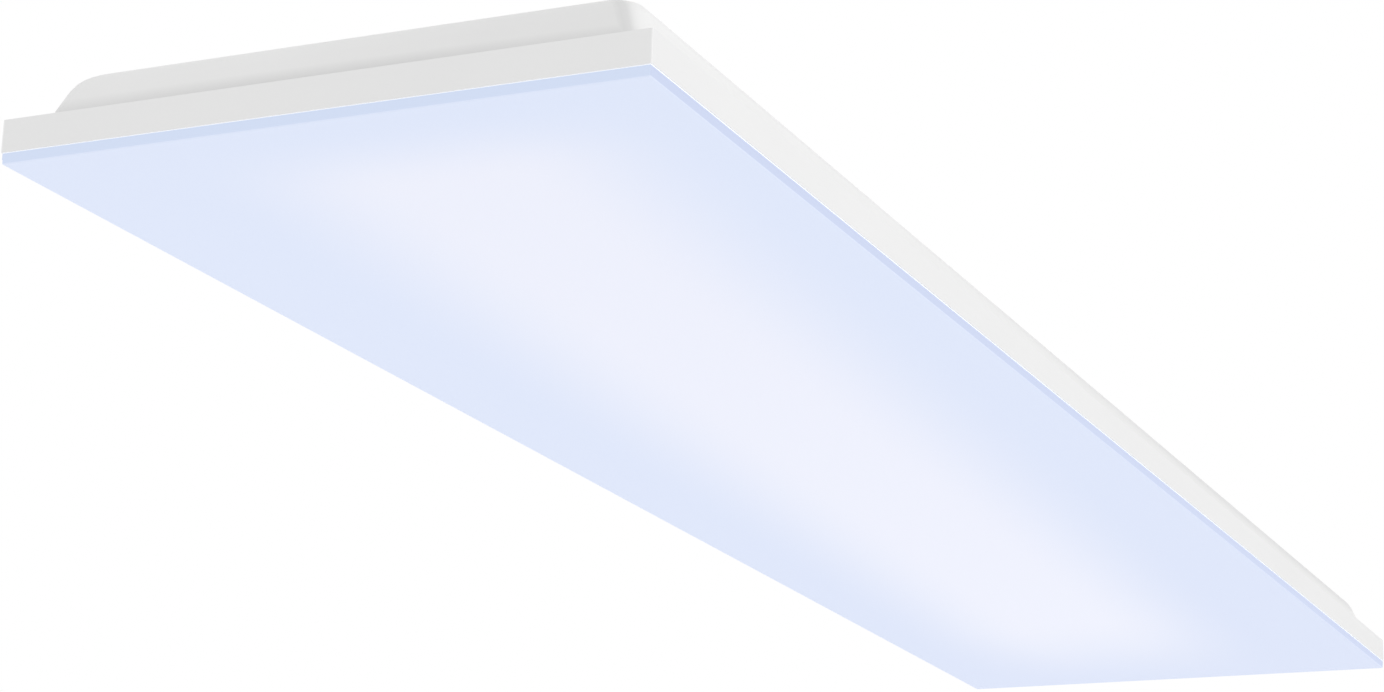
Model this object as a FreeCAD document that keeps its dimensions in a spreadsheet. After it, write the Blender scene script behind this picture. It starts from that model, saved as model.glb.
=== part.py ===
# Slim surface-mounted LED ceiling light, in millimetres.
# The ceiling side is at z = 0 and the light hangs below it, long along X and wide along Y.
# A pressed steel tray is screwed to the ceiling. The light panel below it swings down on hinge
# pins along its +Y side, and two spring catches hold it shut on its -Y side.
import FreeCAD, Part
import math
import os
import Sketcher

doc = FreeCAD.newDocument("led_ceiling_light")
sheet = doc.addObject("Spreadsheet::Sheet", "Sizes")

# Driving dimensions of the real light, one cell each
SIZES = {
    # Whole light
    "light_length": 1197,
    "light_width": 297,
    "closing_gap": 0.3,
    "running_gap": 0.05,
    "side_gap": 0.3,
    "overrun": 1,
    # Ceiling tray, pressed from one sheet
    "tray_height": 26.2,
    "tray_sheet": 0.8,
    "tray_end_inset": 10.3,
    "tray_side_inset": 8.3,
    "tray_lean_degrees": 21.4,
    "tray_corner_radius": 9.1,
    "tray_edge_radius": 14.8,
    "bead_end_inset": 200,
    "bead_row_share": 0.34,
    "bead_depth": 1,
    "bead_mouth_half_width": 6,
    "bead_floor_half_width": 4.5,
    "screw_slot_end_inset": 148.5,
    "screw_slot_side_inset": 58.5,
    "screw_slot_length": 12,
    "screw_slot_width": 5.5,
    # Cable entry: a pressed dish with a rubber grommet in it
    "entry_distance": 130,
    "entry_hole_radius": 10,
    "dish_depth": 2.5,
    "dish_mouth_radius": 22,
    "dish_floor_radius": 18,
    "grommet_bore_radius": 5,
    "grommet_flange_radius": 14,
    "grommet_upper_flange": 1.5,
    "grommet_lower_flange": 2,
    # Frame rails, an aluminium section mitred at the corners
    "frame_height": 14.4,
    "rail_wall": 1.4,
    "rail_flange_width": 26,
    "rail_flange_thickness": 1.4,
    "rail_foot_width": 5,
    "rail_foot_thickness": 1.2,
    "key_channel_width": 7.6,
    "key_rib_thickness": 1,
    "key_rib_depth": 4,
    # Corner keys
    "key_leg": 45,
    "key_thickness": 2,
    "key_play": 0.1,
    # Gear plate
    "plate_sheet": 0.8,
    "plate_end_margin": 16,
    "plate_side_margin": 14,
    "plate_corner_radius": 6,
    "plate_screw_line": 20,
    "plate_screw_end_margin": 58.5,
    "plate_screw_side_margin": 48.5,
    "screw_head_radius": 3,
    "screw_head_height": 1.8,
    "screw_shank_radius": 1.45,
    "screw_length": 5,
    # Diffuser: an opal tray with a proud lip and snap hooks
    "reveal": 0.2,
    "lip_height": 4.9,
    "lip_inset": 0.5,
    "lip_wall": 1.6,
    "lip_edge_radius": 0.6,
    "diffuser_floor": 2,
    "upstand_wall": 1.6,
    "hook_overlap": 1.1,
    "hook_height": 1.4,
    "hook_length": 20,
    # LED boards, in two rows of two, with a lens over each LED
    "board_end_margin": 33.5,
    "board_width": 24,
    "board_thickness": 1.6,
    "board_gap": 10,
    "board_row_share": 0.3,
    "lens_sphere_radius": 7.5,
    "lens_cut_degrees": 25,
    "connector_length": 8,
    "connector_width": 7,
    "connector_height": 3.5,
    "link_length": 18,
    # Driver
    "driver_length": 230,
    "driver_width": 40,
    "driver_height": 16,
    "driver_wall": 1,
    "driver_distance": 180,
    "driver_tab_length": 12,
    "driver_tab_width": 20,
    "cover_height": 6,
    "vent_length": 22,
    "vent_width": 2,
    "vent_pitch": 6,
    "driver_board_clearance": 3,
    "driver_board_thickness": 1.6,
    "driver_plug_length": 14,
    "driver_plug_height": 8,
    "driver_input_width": 18,
    "driver_output_width": 16,
    "driver_input_pitch": 8,
    # Mains terminal block with three levers
    "block_length": 28,
    "block_height": 13,
    "block_distance": 60,
    "pole_pitch": 8,
    "block_edge": 1.5,
    "entry_width": 5.2,
    "entry_depth": 10,
    "entry_height": 4.5,
    "outlet_depth": 6,
    "lever_width": 6.2,
    "lever_thickness": 2.2,
    "lever_hub_radius": 2.4,
    "lever_length": 12.5,
    "lever_overhang": 2.5,
    "trunnion_radius": 1,
    "trunnion_engagement": 0.5,
    # Wires held all the way
    "mains_wire_radius": 1.2,
    "lead_radius": 0.8,
    "wire_play": 0.1,
    "lead_height": 8,
    "lead_bore_radius": 6,
    "bush_wall": 1,
    "bush_flange_width": 2,
    "bush_flange_thickness": 1,
    "lead_pitch": 2.6,
    "lead_bush_distance": 30,
    "holder_distance": 29,
    "holder_length": 6,
    "holder_wall": 2,
    # Earth screw and its ring lug
    "earth_distance": 34,
    "earth_stud_radius": 2,
    "earth_stud_height": 7,
    "earth_nut_radius": 3.8,
    "earth_nut_height": 3.2,
    "lug_ring_radius": 4.2,
    "lug_thickness": 0.8,
    "lug_barrel_radius": 1.7,
    "lug_barrel_length": 7,
    # Hinges, on the ledge of the +Y rail
    "hinge_end_margin": 218.5,
    "hinge_axis_height": 3.8,
    "hinge_axis_margin": 4,
    "hinge_pin_radius": 1.25,
    "hinge_knuckle_radius": 2.4,
    "hinge_knuckle_length": 18,
    "hinge_ear_thickness": 1.5,
    "hinge_ear_gap": 0.4,
    "hinge_base_thickness": 1,
    "hinge_tab_length": 9,
    "hinge_tab_width": 6,
    "hinge_foot_height": 6,
    "hinge_foot_thickness": 1.2,
    "pin_head_radius": 2.1,
    "pin_head_height": 1,
    # Spring catches, on the -Y side
    "catch_end_margin": 298.5,
    "catch_side_margin": 37.5,
    "catch_stud_height": 4,
    "catch_stud_radius": 2.5,
    "clip_width": 10,
    "clip_strip": 0.6,
    "clip_play": 0.4,
    "clip_rise": 2,
    "clip_flare": 1.5,
    "keeper_sheet": 1.2,
    "keeper_inside": 14,
    "keeper_depth": 14,
    "keeper_edge": 1.5,
}

# Counts of what repeats
LENS_COUNT = 7
SIDE_HOOK_COUNT = 6
END_HOOK_COUNT = 2
POLE_COUNT = 3
SIDE_SCREW_COUNT = 4
END_SCREW_COUNT = 2
VENT_COUNT = 11

# A quarter turn in degrees
QUARTER_TURN = 90

# Shares of the rounded edge's arc at which the tray is sectioned
EDGE_SECTION_SHARES = (0, 0.2, 0.4, 0.6, 0.8, 1)


class Size:
    """A length with its value and its formula in the sheet, so that what is built stays bound to it."""

    def __init__(self, value, formula):
        self.value = float(value)
        self.formula = formula

    def __add__(self, other):
        other = as_size(other)
        return Size(self.value + other.value, f"({self.formula} + {other.formula})")

    def __sub__(self, other):
        other = as_size(other)
        return Size(self.value - other.value, f"({self.formula} - {other.formula})")

    def __mul__(self, other):
        other = as_size(other)
        return Size(self.value * other.value, f"({self.formula} * {other.formula})")

    def __truediv__(self, other):
        other = as_size(other)
        return Size(self.value / other.value, f"({self.formula} / {other.formula})")

    def __neg__(self):
        return Size(-self.value, f"(0 - {self.formula})")

    __radd__ = __add__
    __rmul__ = __mul__

    def cosine(self):
        return Size(math.cos(math.radians(self.value)), f"cos({self.formula} * 1 deg)")

    def sine(self):
        return Size(math.sin(math.radians(self.value)), f"sin({self.formula} * 1 deg)")


def as_size(number):
    """Turns a plain number into a size; a size is returned as it is."""
    return number if isinstance(number, Size) else Size(number, repr(float(number)))


class Cells:
    """The sheet's cells by name."""


s = Cells()
for row, (alias, number) in enumerate(SIZES.items(), start=1):
    sheet.set(f"A{row}", alias)
    sheet.set(f"B{row}", str(number))
    sheet.setAlias(f"B{row}", alias)
    setattr(s, alias, Size(number, f"Sizes.{alias}"))
doc.recompute()

# Levels, from the ceiling down
tray_rim = -s.tray_height
panel_top = -(s.tray_height + s.closing_gap)
frame_bottom = panel_top - s.frame_height
foot_top = frame_bottom + s.rail_foot_thickness
lip_top = frame_bottom - s.reveal
light_bottom = lip_top - s.lip_height
plate_top = panel_top + s.plate_sheet
board_face = panel_top - s.board_thickness
zero = as_size(0)
half_length = s.light_length / 2
half_width = s.light_width / 2


# Helpers that build sub-parts bound to the sheet

nodes = {}


def name_node(obj, label):
    """Marks an object as a sub-part: its label names its file."""
    obj.Label = label
    nodes[label] = obj
    return obj


def bind(obj, prop, size):
    """Binds one property to a size's formula."""
    obj.setExpression(prop, size.formula)


def place(obj, x, y, z):
    """Binds an object's position to three sizes."""
    bind(obj, "Placement.Base.x", as_size(x))
    bind(obj, "Placement.Base.y", as_size(y))
    bind(obj, "Placement.Base.z", as_size(z))


def box(label, x, y, z):
    """A block between the low and high sizes on each axis."""
    block = doc.addObject("Part::Box", label)
    bind(block, "Length", x[1] - x[0])
    bind(block, "Width", y[1] - y[0])
    bind(block, "Height", z[1] - z[0])
    place(block, x[0], y[0], z[0])
    return block


TURNS = {
    "X": FreeCAD.Rotation(FreeCAD.Vector(0, 1, 0), QUARTER_TURN),
    "Y": FreeCAD.Rotation(FreeCAD.Vector(1, 0, 0), -QUARTER_TURN),
    "Z": FreeCAD.Rotation(),
}


def rod(label, axis, start, radius, length):
    """A cylinder from its start point along +X, +Y or +Z."""
    cylinder = doc.addObject("Part::Cylinder", label)
    cylinder.Placement = FreeCAD.Placement(FreeCAD.Vector(), TURNS[axis])
    bind(cylinder, "Radius", radius)
    bind(cylinder, "Height", length)
    place(cylinder, *start)
    return cylinder


def cone(label, start, low_radius, high_radius, height):
    """A cone frustum upward from its start point."""
    frustum = doc.addObject("Part::Cone", label)
    bind(frustum, "Radius1", low_radius)
    bind(frustum, "Radius2", high_radius)
    bind(frustum, "Height", height)
    place(frustum, *start)
    return frustum


def join(label, parts):
    """One solid from parts that touch or overlap."""
    union = doc.addObject("Part::MultiFuse", label)
    union.Shapes = parts
    union.Refine = True
    return union


def cut(label, base, tools):
    """The base without what the tools cover."""
    tool = tools[0]
    if len(tools) > 1:
        tool = doc.addObject("Part::Compound", label + "_tools")
        tool.Links = tools
    result = doc.addObject("Part::Cut", label)
    result.Base = base
    result.Tool = tool
    result.Refine = True
    return result


def group(label, parts):
    """Separate solids that share one sub-part."""
    compound = doc.addObject("Part::Compound", label)
    compound.Links = parts
    return compound


def origin_plane(body, role):
    return next(feature for feature in body.Origin.OriginFeatures if feature.Role == role)


def new_sketch(body, label, role, offset):
    """A sketch on one of the body's own origin planes, moved along the plane's normal."""
    sketch = body.newObject("Sketcher::SketchObject", label)
    sketch.AttachmentSupport = [(origin_plane(body, role), "")]
    sketch.MapMode = "FlatFace"
    bind(sketch, "AttachmentOffset.Base.z", offset)
    return sketch


def pin_point(sketch, index, end, x, y):
    """Holds one end of a sketch line at two sizes from the origin."""
    for kind, size in (("DistanceX", x), ("DistanceY", y)):
        row = sketch.addConstraint(Sketcher.Constraint(kind, -1, 1, index, end, size.value))
        sketch.setExpression(f"Constraints[{row}]", size.formula)


def draw_polygon(sketch, corners):
    """A closed outline whose every corner is bound to the sheet."""
    first = sketch.GeometryCount
    count = len(corners)
    points = [FreeCAD.Vector(x.value, y.value, 0) for x, y in corners]
    for i in range(count):
        sketch.addGeometry(Part.LineSegment(points[i], points[(i + 1) % count]))
    for i, (x, y) in enumerate(corners):
        following = first + (i + 1) % count
        sketch.addConstraint(Sketcher.Constraint("Coincident", first + i, 2, following, 1))
        pin_point(sketch, first + i, 1, x, y)


def draw_rounded(sketch, half_x, half_y, radius):
    """A centred rectangle with rounded corners, bound to the sheet."""
    quadrants = ((1, 1), (-1, 1), (-1, -1), (1, -1))
    flats = []
    for i, (along, across) in enumerate(quadrants):
        near_y = (half_x * along, (half_y - radius) * across)
        near_x = ((half_x - radius) * along, half_y * across)
        flats.append((near_y, near_x) if i % 2 == 0 else (near_x, near_y))
    centres = [((half_x - radius) * a, (half_y - radius) * b) for a, b in quadrants]
    for i, (start, end) in enumerate(flats):
        centre = FreeCAD.Vector(centres[i][0].value, centres[i][1].value, 0)
        angle = math.radians(QUARTER_TURN * i)
        circle = Part.Circle(centre, FreeCAD.Vector(0, 0, 1), radius.value)
        sketch.addGeometry(Part.ArcOfCircle(circle, angle, angle + math.pi / 2))
        following = flats[(i + 1) % 4][0]
        line_start = FreeCAD.Vector(end[0].value, end[1].value, 0)
        line_end = FreeCAD.Vector(following[0].value, following[1].value, 0)
        sketch.addGeometry(Part.LineSegment(line_start, line_end))
    for i, (start, end) in enumerate(flats):
        arc = 2 * i
        line = arc + 1
        next_arc = (arc + 2) % 8
        sketch.addConstraint(Sketcher.Constraint("Coincident", arc, 2, line, 1))
        sketch.addConstraint(Sketcher.Constraint("Coincident", line, 2, next_arc, 1))
        pin_point(sketch, line, 1, *end)
        pin_point(sketch, line, 2, *flats[(i + 1) % 4][0])
        row = sketch.addConstraint(Sketcher.Constraint("Radius", arc, radius.value))
        sketch.setExpression(f"Constraints[{row}]", radius.formula)


def prism(body, label, role, outlines, offset, length):
    """Pads closed outlines along the plane's normal."""
    sketch = new_sketch(body, label + "_outline", role, offset)
    for corners in outlines:
        draw_polygon(sketch, corners)
    pad = body.newObject("PartDesign::Pad", label)
    pad.Profile = sketch
    bind(pad, "Length", length)
    return pad


def rectangle(x_low, x_high, y_low, y_high):
    return [(x_low, y_low), (x_high, y_low), (x_high, y_high), (x_low, y_high)]


def edges_on_plane(shape, height):
    """The names of the edges that lie flat at one height."""
    found = []
    for number, edge in enumerate(shape.Edges, start=1):
        low, high = edge.BoundBox.ZMin, edge.BoundBox.ZMax
        if math.isclose(low, height, abs_tol=1e-6) and math.isclose(high, height, abs_tol=1e-6):
            found.append(f"Edge{number}")
    return found


def upright_edges(shape):
    """The names of the edges that run straight up."""
    found = []
    for number, edge in enumerate(shape.Edges, start=1):
        box_of_edge = edge.BoundBox
        if math.isclose(box_of_edge.ZLength, edge.Length, rel_tol=1e-6):
            found.append(f"Edge{number}")
    return found


# Ceiling tray: one pressed sheet with drafted walls, rounded corners and a rolled upper edge

lean = s.tray_lean_degrees
edge_arc_inset = ((s.tray_height - s.tray_edge_radius) * lean.sine() / lean.cosine()
                  + s.tray_edge_radius / lean.cosine())


def tray_section(body, label, inset, height, corner):
    """One rounded outline of the tray at a height, drawn in by an inset."""
    sketch = new_sketch(body, label, "XY_Plane", height)
    half_x = half_length - s.tray_end_inset - inset
    half_y = half_width - s.tray_side_inset - inset
    draw_rounded(sketch, half_x, half_y, corner)
    return sketch


def tray_loft(body, label, kind, sections, ruled):
    loft = body.newObject("PartDesign::" + kind, label)
    loft.Profile = sections[0]
    loft.Sections = sections[1:]
    loft.Ruled = ruled
    return loft


def tray_skin(body, label, kind, depth, base_inset, base_height):
    """The tray's outside, or its inside a sheet's thickness deeper, as two lofts."""
    radius = s.tray_edge_radius - depth
    corner = s.tray_corner_radius - depth
    arc = []
    for i, share in enumerate(EDGE_SECTION_SHARES):
        angle = lean + (as_size(QUARTER_TURN) - lean) * share
        inset = edge_arc_inset - radius * angle.cosine()
        height = radius * angle.sine() - s.tray_edge_radius
        arc.append(tray_section(body, f"{label}_edge_{i}", inset, height, corner))
    rim = tray_section(body, f"{label}_rim", base_inset, base_height, corner)
    shoulder = tray_section(
        body, f"{label}_shoulder", edge_arc_inset - radius * lean.cosine(),
        radius * lean.sine() - s.tray_edge_radius, corner)
    tray_loft(body, f"{label}_wall", kind, [rim, shoulder], True)
    tray_loft(body, f"{label}_edge", kind, arc, False)


def make_ceiling_tray():
    body = doc.addObject("PartDesign::Body", "tray_pressing")
    tray_skin(body, "outer", "AdditiveLoft", zero, zero, tray_rim)
    tangent = lean.sine() / lean.cosine()
    inner_inset = s.tray_sheet / lean.cosine() - s.overrun * tangent
    tray_skin(body, "inner", "SubtractiveLoft", s.tray_sheet, inner_inset, tray_rim - s.overrun)

    entry = (s.entry_distance, zero)
    dish_bottom = -(s.dish_depth + s.tray_sheet)
    dish_boss = cone("dish_boss", (*entry, dish_bottom), s.dish_floor_radius + s.tray_sheet,
                     s.dish_mouth_radius + s.tray_sheet, s.dish_depth + s.tray_sheet)
    dish = cone("dish", (*entry, -s.dish_depth), s.dish_floor_radius, s.dish_mouth_radius, s.dish_depth)
    hole = rod("entry_hole", "Z", (*entry, dish_bottom - s.overrun), s.entry_hole_radius,
               s.dish_depth + s.tray_sheet + s.overrun)
    slots = []
    for along in (-1, 1):
        for across in (-1, 1):
            slots.append(screw_slot((half_length - s.screw_slot_end_inset) * along,
                                    (half_width - s.screw_slot_side_inset) * across))
    ridges = [stiffening_bead("bead_ridge", side, s.tray_sheet) for side in (-1, 1)]
    grooves = [stiffening_bead("bead_groove", side, zero) for side in (-1, 1)]
    pressing = join("tray_pressed", [body, dish_boss] + ridges)
    name_node(cut("tray", pressing, [dish, hole] + grooves + slots), "ceiling_tray")


def stiffening_bead(label, side, skin):
    """A long drafted bead with round ends: its groove, or the ridge a sheet's thickness round it."""
    y = half_width * s.bead_row_share * side
    end = half_length - s.bead_end_inset
    bottom = -(s.bead_depth + skin)
    floor = s.bead_floor_half_width + skin
    mouth = s.bead_mouth_half_width + skin
    run = doc.addObject("PartDesign::Body", label)
    prism(run, label + "_run", "YZ_Plane", [[(y - floor, bottom), (y + floor, bottom), (y + mouth, zero),
                                             (y - mouth, zero)]], -end, end * 2)
    ends = [cone(label + "_end", (x, y, bottom), floor, mouth, -bottom) for x in (-end, end)]
    return join(label + "_form", [run] + ends)


def screw_slot(x, y):
    """A round-ended slot through the tray's top sheet."""
    radius = s.screw_slot_width / 2
    straight = s.screw_slot_length - s.screw_slot_width
    bottom = -(s.tray_sheet + s.overrun)
    height = s.tray_sheet + s.overrun * 2
    middle = box("slot_middle", (x - straight / 2, x + straight / 2), (y - radius, y + radius),
                 (bottom, bottom + height))
    left = rod("slot_end", "Z", (x - straight / 2, y, bottom), radius, height)
    right = rod("slot_end", "Z", (x + straight / 2, y, bottom), radius, height)
    return join("slot", [middle, left, right])


# Cable grommet: soft rubber, its groove on the edge of the dish's hole


def make_cable_grommet():
    groove_bottom = -(s.dish_depth + s.tray_sheet)
    bottom = groove_bottom - s.grommet_lower_flange
    height = s.grommet_lower_flange + s.tray_sheet + s.grommet_upper_flange
    entry = (s.entry_distance, zero)
    lower = rod("grommet_lower", "Z", (*entry, bottom), s.grommet_flange_radius, s.grommet_lower_flange)
    neck = rod("grommet_neck", "Z", (*entry, bottom), s.entry_hole_radius, height)
    upper = rod("grommet_upper", "Z", (*entry, -s.dish_depth), s.grommet_flange_radius,
                s.grommet_upper_flange)
    bore = rod("grommet_bore", "Z", (*entry, bottom - s.overrun), s.grommet_bore_radius,
               height + s.overrun * 2)
    ring = join("grommet_ring", [lower, neck, upper])
    name_node(cut("grommet", ring, [bore]), "cable_grommet")


# Frame rails: one aluminium section, cut to four lengths and mitred

rib_start = s.rail_wall + s.key_channel_width
rail_section = [
    (zero, panel_top),
    (zero, frame_bottom),
    (s.rail_foot_width, frame_bottom),
    (s.rail_foot_width, foot_top),
    (s.rail_wall, foot_top),
    (s.rail_wall, panel_top - s.rail_flange_thickness),
    (rib_start, panel_top - s.rail_flange_thickness),
    (rib_start, panel_top - s.rail_flange_thickness - s.key_rib_depth),
    (rib_start + s.key_rib_thickness, panel_top - s.rail_flange_thickness - s.key_rib_depth),
    (rib_start + s.key_rib_thickness, panel_top - s.rail_flange_thickness),
    (s.rail_flange_width, panel_top - s.rail_flange_thickness),
    (s.rail_flange_width, panel_top),
]


def end_to_end_shares(count):
    """Evenly spaced shares of a half length, from one end to the other."""
    return [2 * i / (count - 1) - 1 for i in range(count)]


def rail_screw_places():
    """Where the gear plate's screws go: x and y of each."""
    line_x = half_length - s.plate_screw_line
    line_y = half_width - s.plate_screw_line
    last_x = half_length - s.plate_screw_end_margin
    last_y = half_width - s.plate_screw_side_margin
    places = []
    for side in (-1, 1):
        for share in end_to_end_shares(SIDE_SCREW_COUNT):
            places.append((last_x * share, line_y * side))
        for share in end_to_end_shares(END_SCREW_COUNT):
            places.append((line_x * side, last_y * share))
    return places


def screw_holes(label, radius, bottom, top):
    """Drills every plate screw's hole between two levels."""
    drills = []
    for x, y in rail_screw_places():
        drills.append(rod(label, "Z", (x, y, bottom), radius, top - bottom))
    return drills


def make_rail(label, along_x, side):
    """One rail, its section pressed out along X or Y and its ends mitred."""
    body = doc.addObject("PartDesign::Body", label + "_bar")
    half_across = half_width if along_x else half_length
    half_along = half_length if along_x else half_width
    outline = [((half_across - u) * side, z) for u, z in rail_section]
    role = "YZ_Plane" if along_x else "XZ_Plane"
    prism(body, label + "_bar_pad", role, [outline], -half_along, half_along * 2)

    outer = half_across
    inner = half_across - s.rail_flange_width - s.overrun
    reach = s.rail_flange_width + s.overrun
    mitres = new_sketch(body, label + "_mitres", "XY_Plane", panel_top + s.overrun)
    for end in (-1, 1):
        corners = [
            (half_along * end, outer * side),
            ((half_along + s.overrun) * end, outer * side),
            ((half_along + s.overrun) * end, inner * side),
            ((half_along - reach) * end, inner * side),
        ]
        draw_polygon(mitres, corners if along_x else [(y, x) for x, y in corners])
    pocket = body.newObject("PartDesign::Pocket", label + "_mitre_cut")
    pocket.Profile = mitres
    bind(pocket, "Length", s.frame_height + s.overrun * 2)

    drills = screw_holes(label + "_hole", s.screw_shank_radius + s.running_gap,
                         panel_top - s.rail_flange_thickness - s.overrun, panel_top + s.overrun)
    name_node(cut(label + "_drilled", body, drills), label)


def make_corner_keys():
    """Four L-shaped steel keys in the channel under the flange."""
    outer = s.rail_wall + s.key_play
    inner = rib_start - s.key_play
    top = panel_top - s.rail_flange_thickness
    keys = []
    for along in (-1, 1):
        for across in (-1, 1):
            label = f"key_{len(keys)}"
            corners = [
                (half_length - outer, half_width - outer),
                (half_length - outer - s.key_leg, half_width - outer),
                (half_length - outer - s.key_leg, half_width - inner),
                (half_length - inner, half_width - inner),
                (half_length - inner, half_width - outer - s.key_leg),
                (half_length - outer, half_width - outer - s.key_leg),
            ]
            body = doc.addObject("PartDesign::Body", label)
            prism(body, label + "_pad", "XY_Plane", [[(x * along, y * across) for x, y in corners]],
                  top - s.key_thickness, s.key_thickness)
            keys.append(body)
    name_node(group("keys", keys), "corner_keys")


# Gear plate: flat white sheet that closes the frame and carries the electrics

driver_low_x = -s.driver_distance - s.driver_length / 2
lead_x = driver_low_x - s.lead_bush_distance
lead_bore_place = (lead_x, zero)
driver_high_x = driver_low_x + s.driver_length
driver_tab_middle = s.driver_tab_length / 2
driver_screw_places = (
    (driver_low_x - driver_tab_middle, zero),
    (driver_high_x + driver_tab_middle, zero),
)


def make_gear_plate():
    body = doc.addObject("PartDesign::Body", "plate_blank")
    sketch = new_sketch(body, "plate_outline", "XY_Plane", panel_top)
    draw_rounded(sketch, half_length - s.plate_end_margin, half_width - s.plate_side_margin,
                 s.plate_corner_radius)
    pad = body.newObject("PartDesign::Pad", "plate_pad")
    pad.Profile = sketch
    bind(pad, "Length", s.plate_sheet)

    low = panel_top - s.overrun
    high = plate_top + s.overrun
    radius = s.screw_shank_radius + s.running_gap
    drills = screw_holes("plate_hole", radius, low, high)
    for x, y in driver_screw_places:
        drills.append(rod("driver_screw_hole", "Z", (x, y, low), radius, high - low))
    drills.append(rod("lead_hole", "Z", (*lead_bore_place, low), s.lead_bore_radius + s.bush_wall,
                      high - low))
    drills.append(rod("earth_hole", "Z", (zero, s.earth_distance, low), s.earth_stud_radius, high - low))
    name_node(cut("plate", body, drills), "gear_plate")


def screw(label, x, y, seat):
    """A pan-head screw whose head sits on the level given."""
    head = rod(label + "_head", "Z", (x, y, seat), s.screw_head_radius, s.screw_head_height)
    shank = rod(label + "_shank", "Z", (x, y, seat - s.screw_length), s.screw_shank_radius,
                s.screw_length)
    return join(label, [head, shank])


def make_screws():
    plate_screws = [screw(f"plate_screw_{i}", x, y, plate_top)
                    for i, (x, y) in enumerate(rail_screw_places())]
    name_node(group("plate_screw_set", plate_screws), "plate_screws")
    seat = plate_top + s.driver_wall
    driver_screws = [screw(f"driver_screw_{i}", x, y, seat)
                     for i, (x, y) in enumerate(driver_screw_places)]
    name_node(group("driver_screw_set", driver_screws), "driver_screws")


# Diffuser: an opal tray whose lip shows below the frame and whose hooks snap over the rails' feet

upstand_outer = s.rail_foot_width + s.side_gap
upstand_inner = upstand_outer + s.upstand_wall
hook_tip = s.rail_foot_width - s.hook_overlap
hook_top = foot_top + s.hook_height


def ring_outline(outer, inner):
    """Two rectangles, inset from the light's outer faces."""
    outlines = []
    for inset in (outer, inner):
        x = half_length - inset
        y = half_width - inset
        outlines.append(rectangle(-x, x, -y, y))
    return outlines


def middle_shares(count):
    """The middles of a length's equal parts, as shares of it from its low end."""
    return [(i + 1 / 2) / count for i in range(count)]


def make_diffuser():
    body = doc.addObject("PartDesign::Body", "diffuser_moulding")
    x = half_length - s.lip_inset
    y = half_width - s.lip_inset
    floor = prism(body, "diffuser_floor", "XY_Plane", [rectangle(-x, x, -y, y)], light_bottom,
                  s.diffuser_floor)
    doc.recompute()
    rounding = body.newObject("PartDesign::Fillet", "lip_edge")
    sharp = upright_edges(floor.Shape) + edges_on_plane(floor.Shape, light_bottom.value)
    rounding.Base = (floor, sharp)
    bind(rounding, "Radius", s.lip_edge_radius)
    floor_top = light_bottom + s.diffuser_floor
    prism(body, "lip", "XY_Plane", ring_outline(s.lip_inset, s.lip_inset + s.lip_wall), floor_top,
          lip_top - floor_top)
    prism(body, "upstand", "XY_Plane", ring_outline(upstand_outer, upstand_inner), floor_top,
          hook_top - floor_top)

    hooks = []
    for side in (-1, 1):
        for count, along_x in ((SIDE_HOOK_COUNT, True), (END_HOOK_COUNT, False)):
            half_along = half_length if along_x else half_width
            half_across = half_width if along_x else half_length
            for share in middle_shares(count):
                middle = half_along * (share * 2 - 1)
                along = (middle - s.hook_length / 2, middle + s.hook_length / 2)
                edges = ((half_across - hook_tip) * side, (half_across - upstand_outer) * side)
                across = edges if side < 0 else edges[::-1]
                x_span, y_span = (along, across) if along_x else (across, along)
                hooks.append(box("hook", x_span, y_span, (foot_top, hook_top)))
    name_node(join("diffuser_hooked", [body] + hooks), "diffuser")


# LED boards, lenses, connectors and links

board_end = half_length - s.board_end_margin
board_length = board_end - s.board_gap / 2
near_board = (-board_end, -s.board_gap / 2)
far_board = (s.board_gap / 2, board_end)
board_row = half_width * s.board_row_share
lens_base = s.lens_sphere_radius * s.lens_cut_degrees.sine()


def make_boards():
    number = 0
    for side in (-1, 1):
        row = board_row * side
        for x in (near_board, far_board):
            number += 1
            y = (row - s.board_width / 2, row + s.board_width / 2)
            board = box(f"board_{number}", x, y, (board_face, panel_top))
            name_node(board, f"led_board_{number}")
            name_node(make_lenses(number, x[0], row), f"led_lenses_{number}")


def make_lenses(number, board_start, row):
    """Domes along one board, each the cap of a sphere, looking down."""
    lenses = []
    for i, share in enumerate(middle_shares(LENS_COUNT)):
        dome = doc.addObject("Part::Sphere", f"dome_{number}_{i}")
        dome.Placement = FreeCAD.Placement(FreeCAD.Vector(),
                                           FreeCAD.Rotation(FreeCAD.Vector(1, 0, 0), 180))
        bind(dome, "Radius", s.lens_sphere_radius)
        bind(dome, "Angle1", s.lens_cut_degrees)
        x = board_start + board_length * share
        place(dome, x, row, board_face + lens_base)
        lenses.append(dome)
    return group(f"lenses_{number}", lenses)


connector_start = board_row - s.board_width / 2 + s.side_gap
connector_end = connector_start + s.connector_width


def span(low, high, side):
    """A range mirrored to the side wanted, low end first."""
    return (low, high) if side > 0 else (-high, -low)


def make_board_connectors():
    x = (lead_x - s.connector_length / 2, lead_x + s.connector_length / 2)
    z = (board_face - s.connector_height, board_face)
    parts = []
    for side in (-1, 1):
        body = box("poke_body", x, span(connector_start, connector_end, side), z)
        holes = []
        for offset in (-1, 1):
            depth = connector_start + s.connector_width / 2
            y = -depth if side < 0 else connector_start - s.overrun
            holes.append(rod("poke_hole", "Y", (lead_x + s.lead_pitch / 2 * offset, y, lead_under),
                             s.lead_radius + s.wire_play, s.connector_width / 2 + s.overrun))
        parts.append(cut("poke", body, holes))
    name_node(group("pokes", parts), "board_connectors")
    links = []
    for side in (-1, 1):
        row = board_row * side
        links.append(box("link", (-s.link_length / 2, s.link_length / 2),
                         (row - s.connector_width / 2, row + s.connector_width / 2), z))
    name_node(group("links", links), "board_links")


# Driver: a steel case with its cover, circuit board and two connectors

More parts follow.
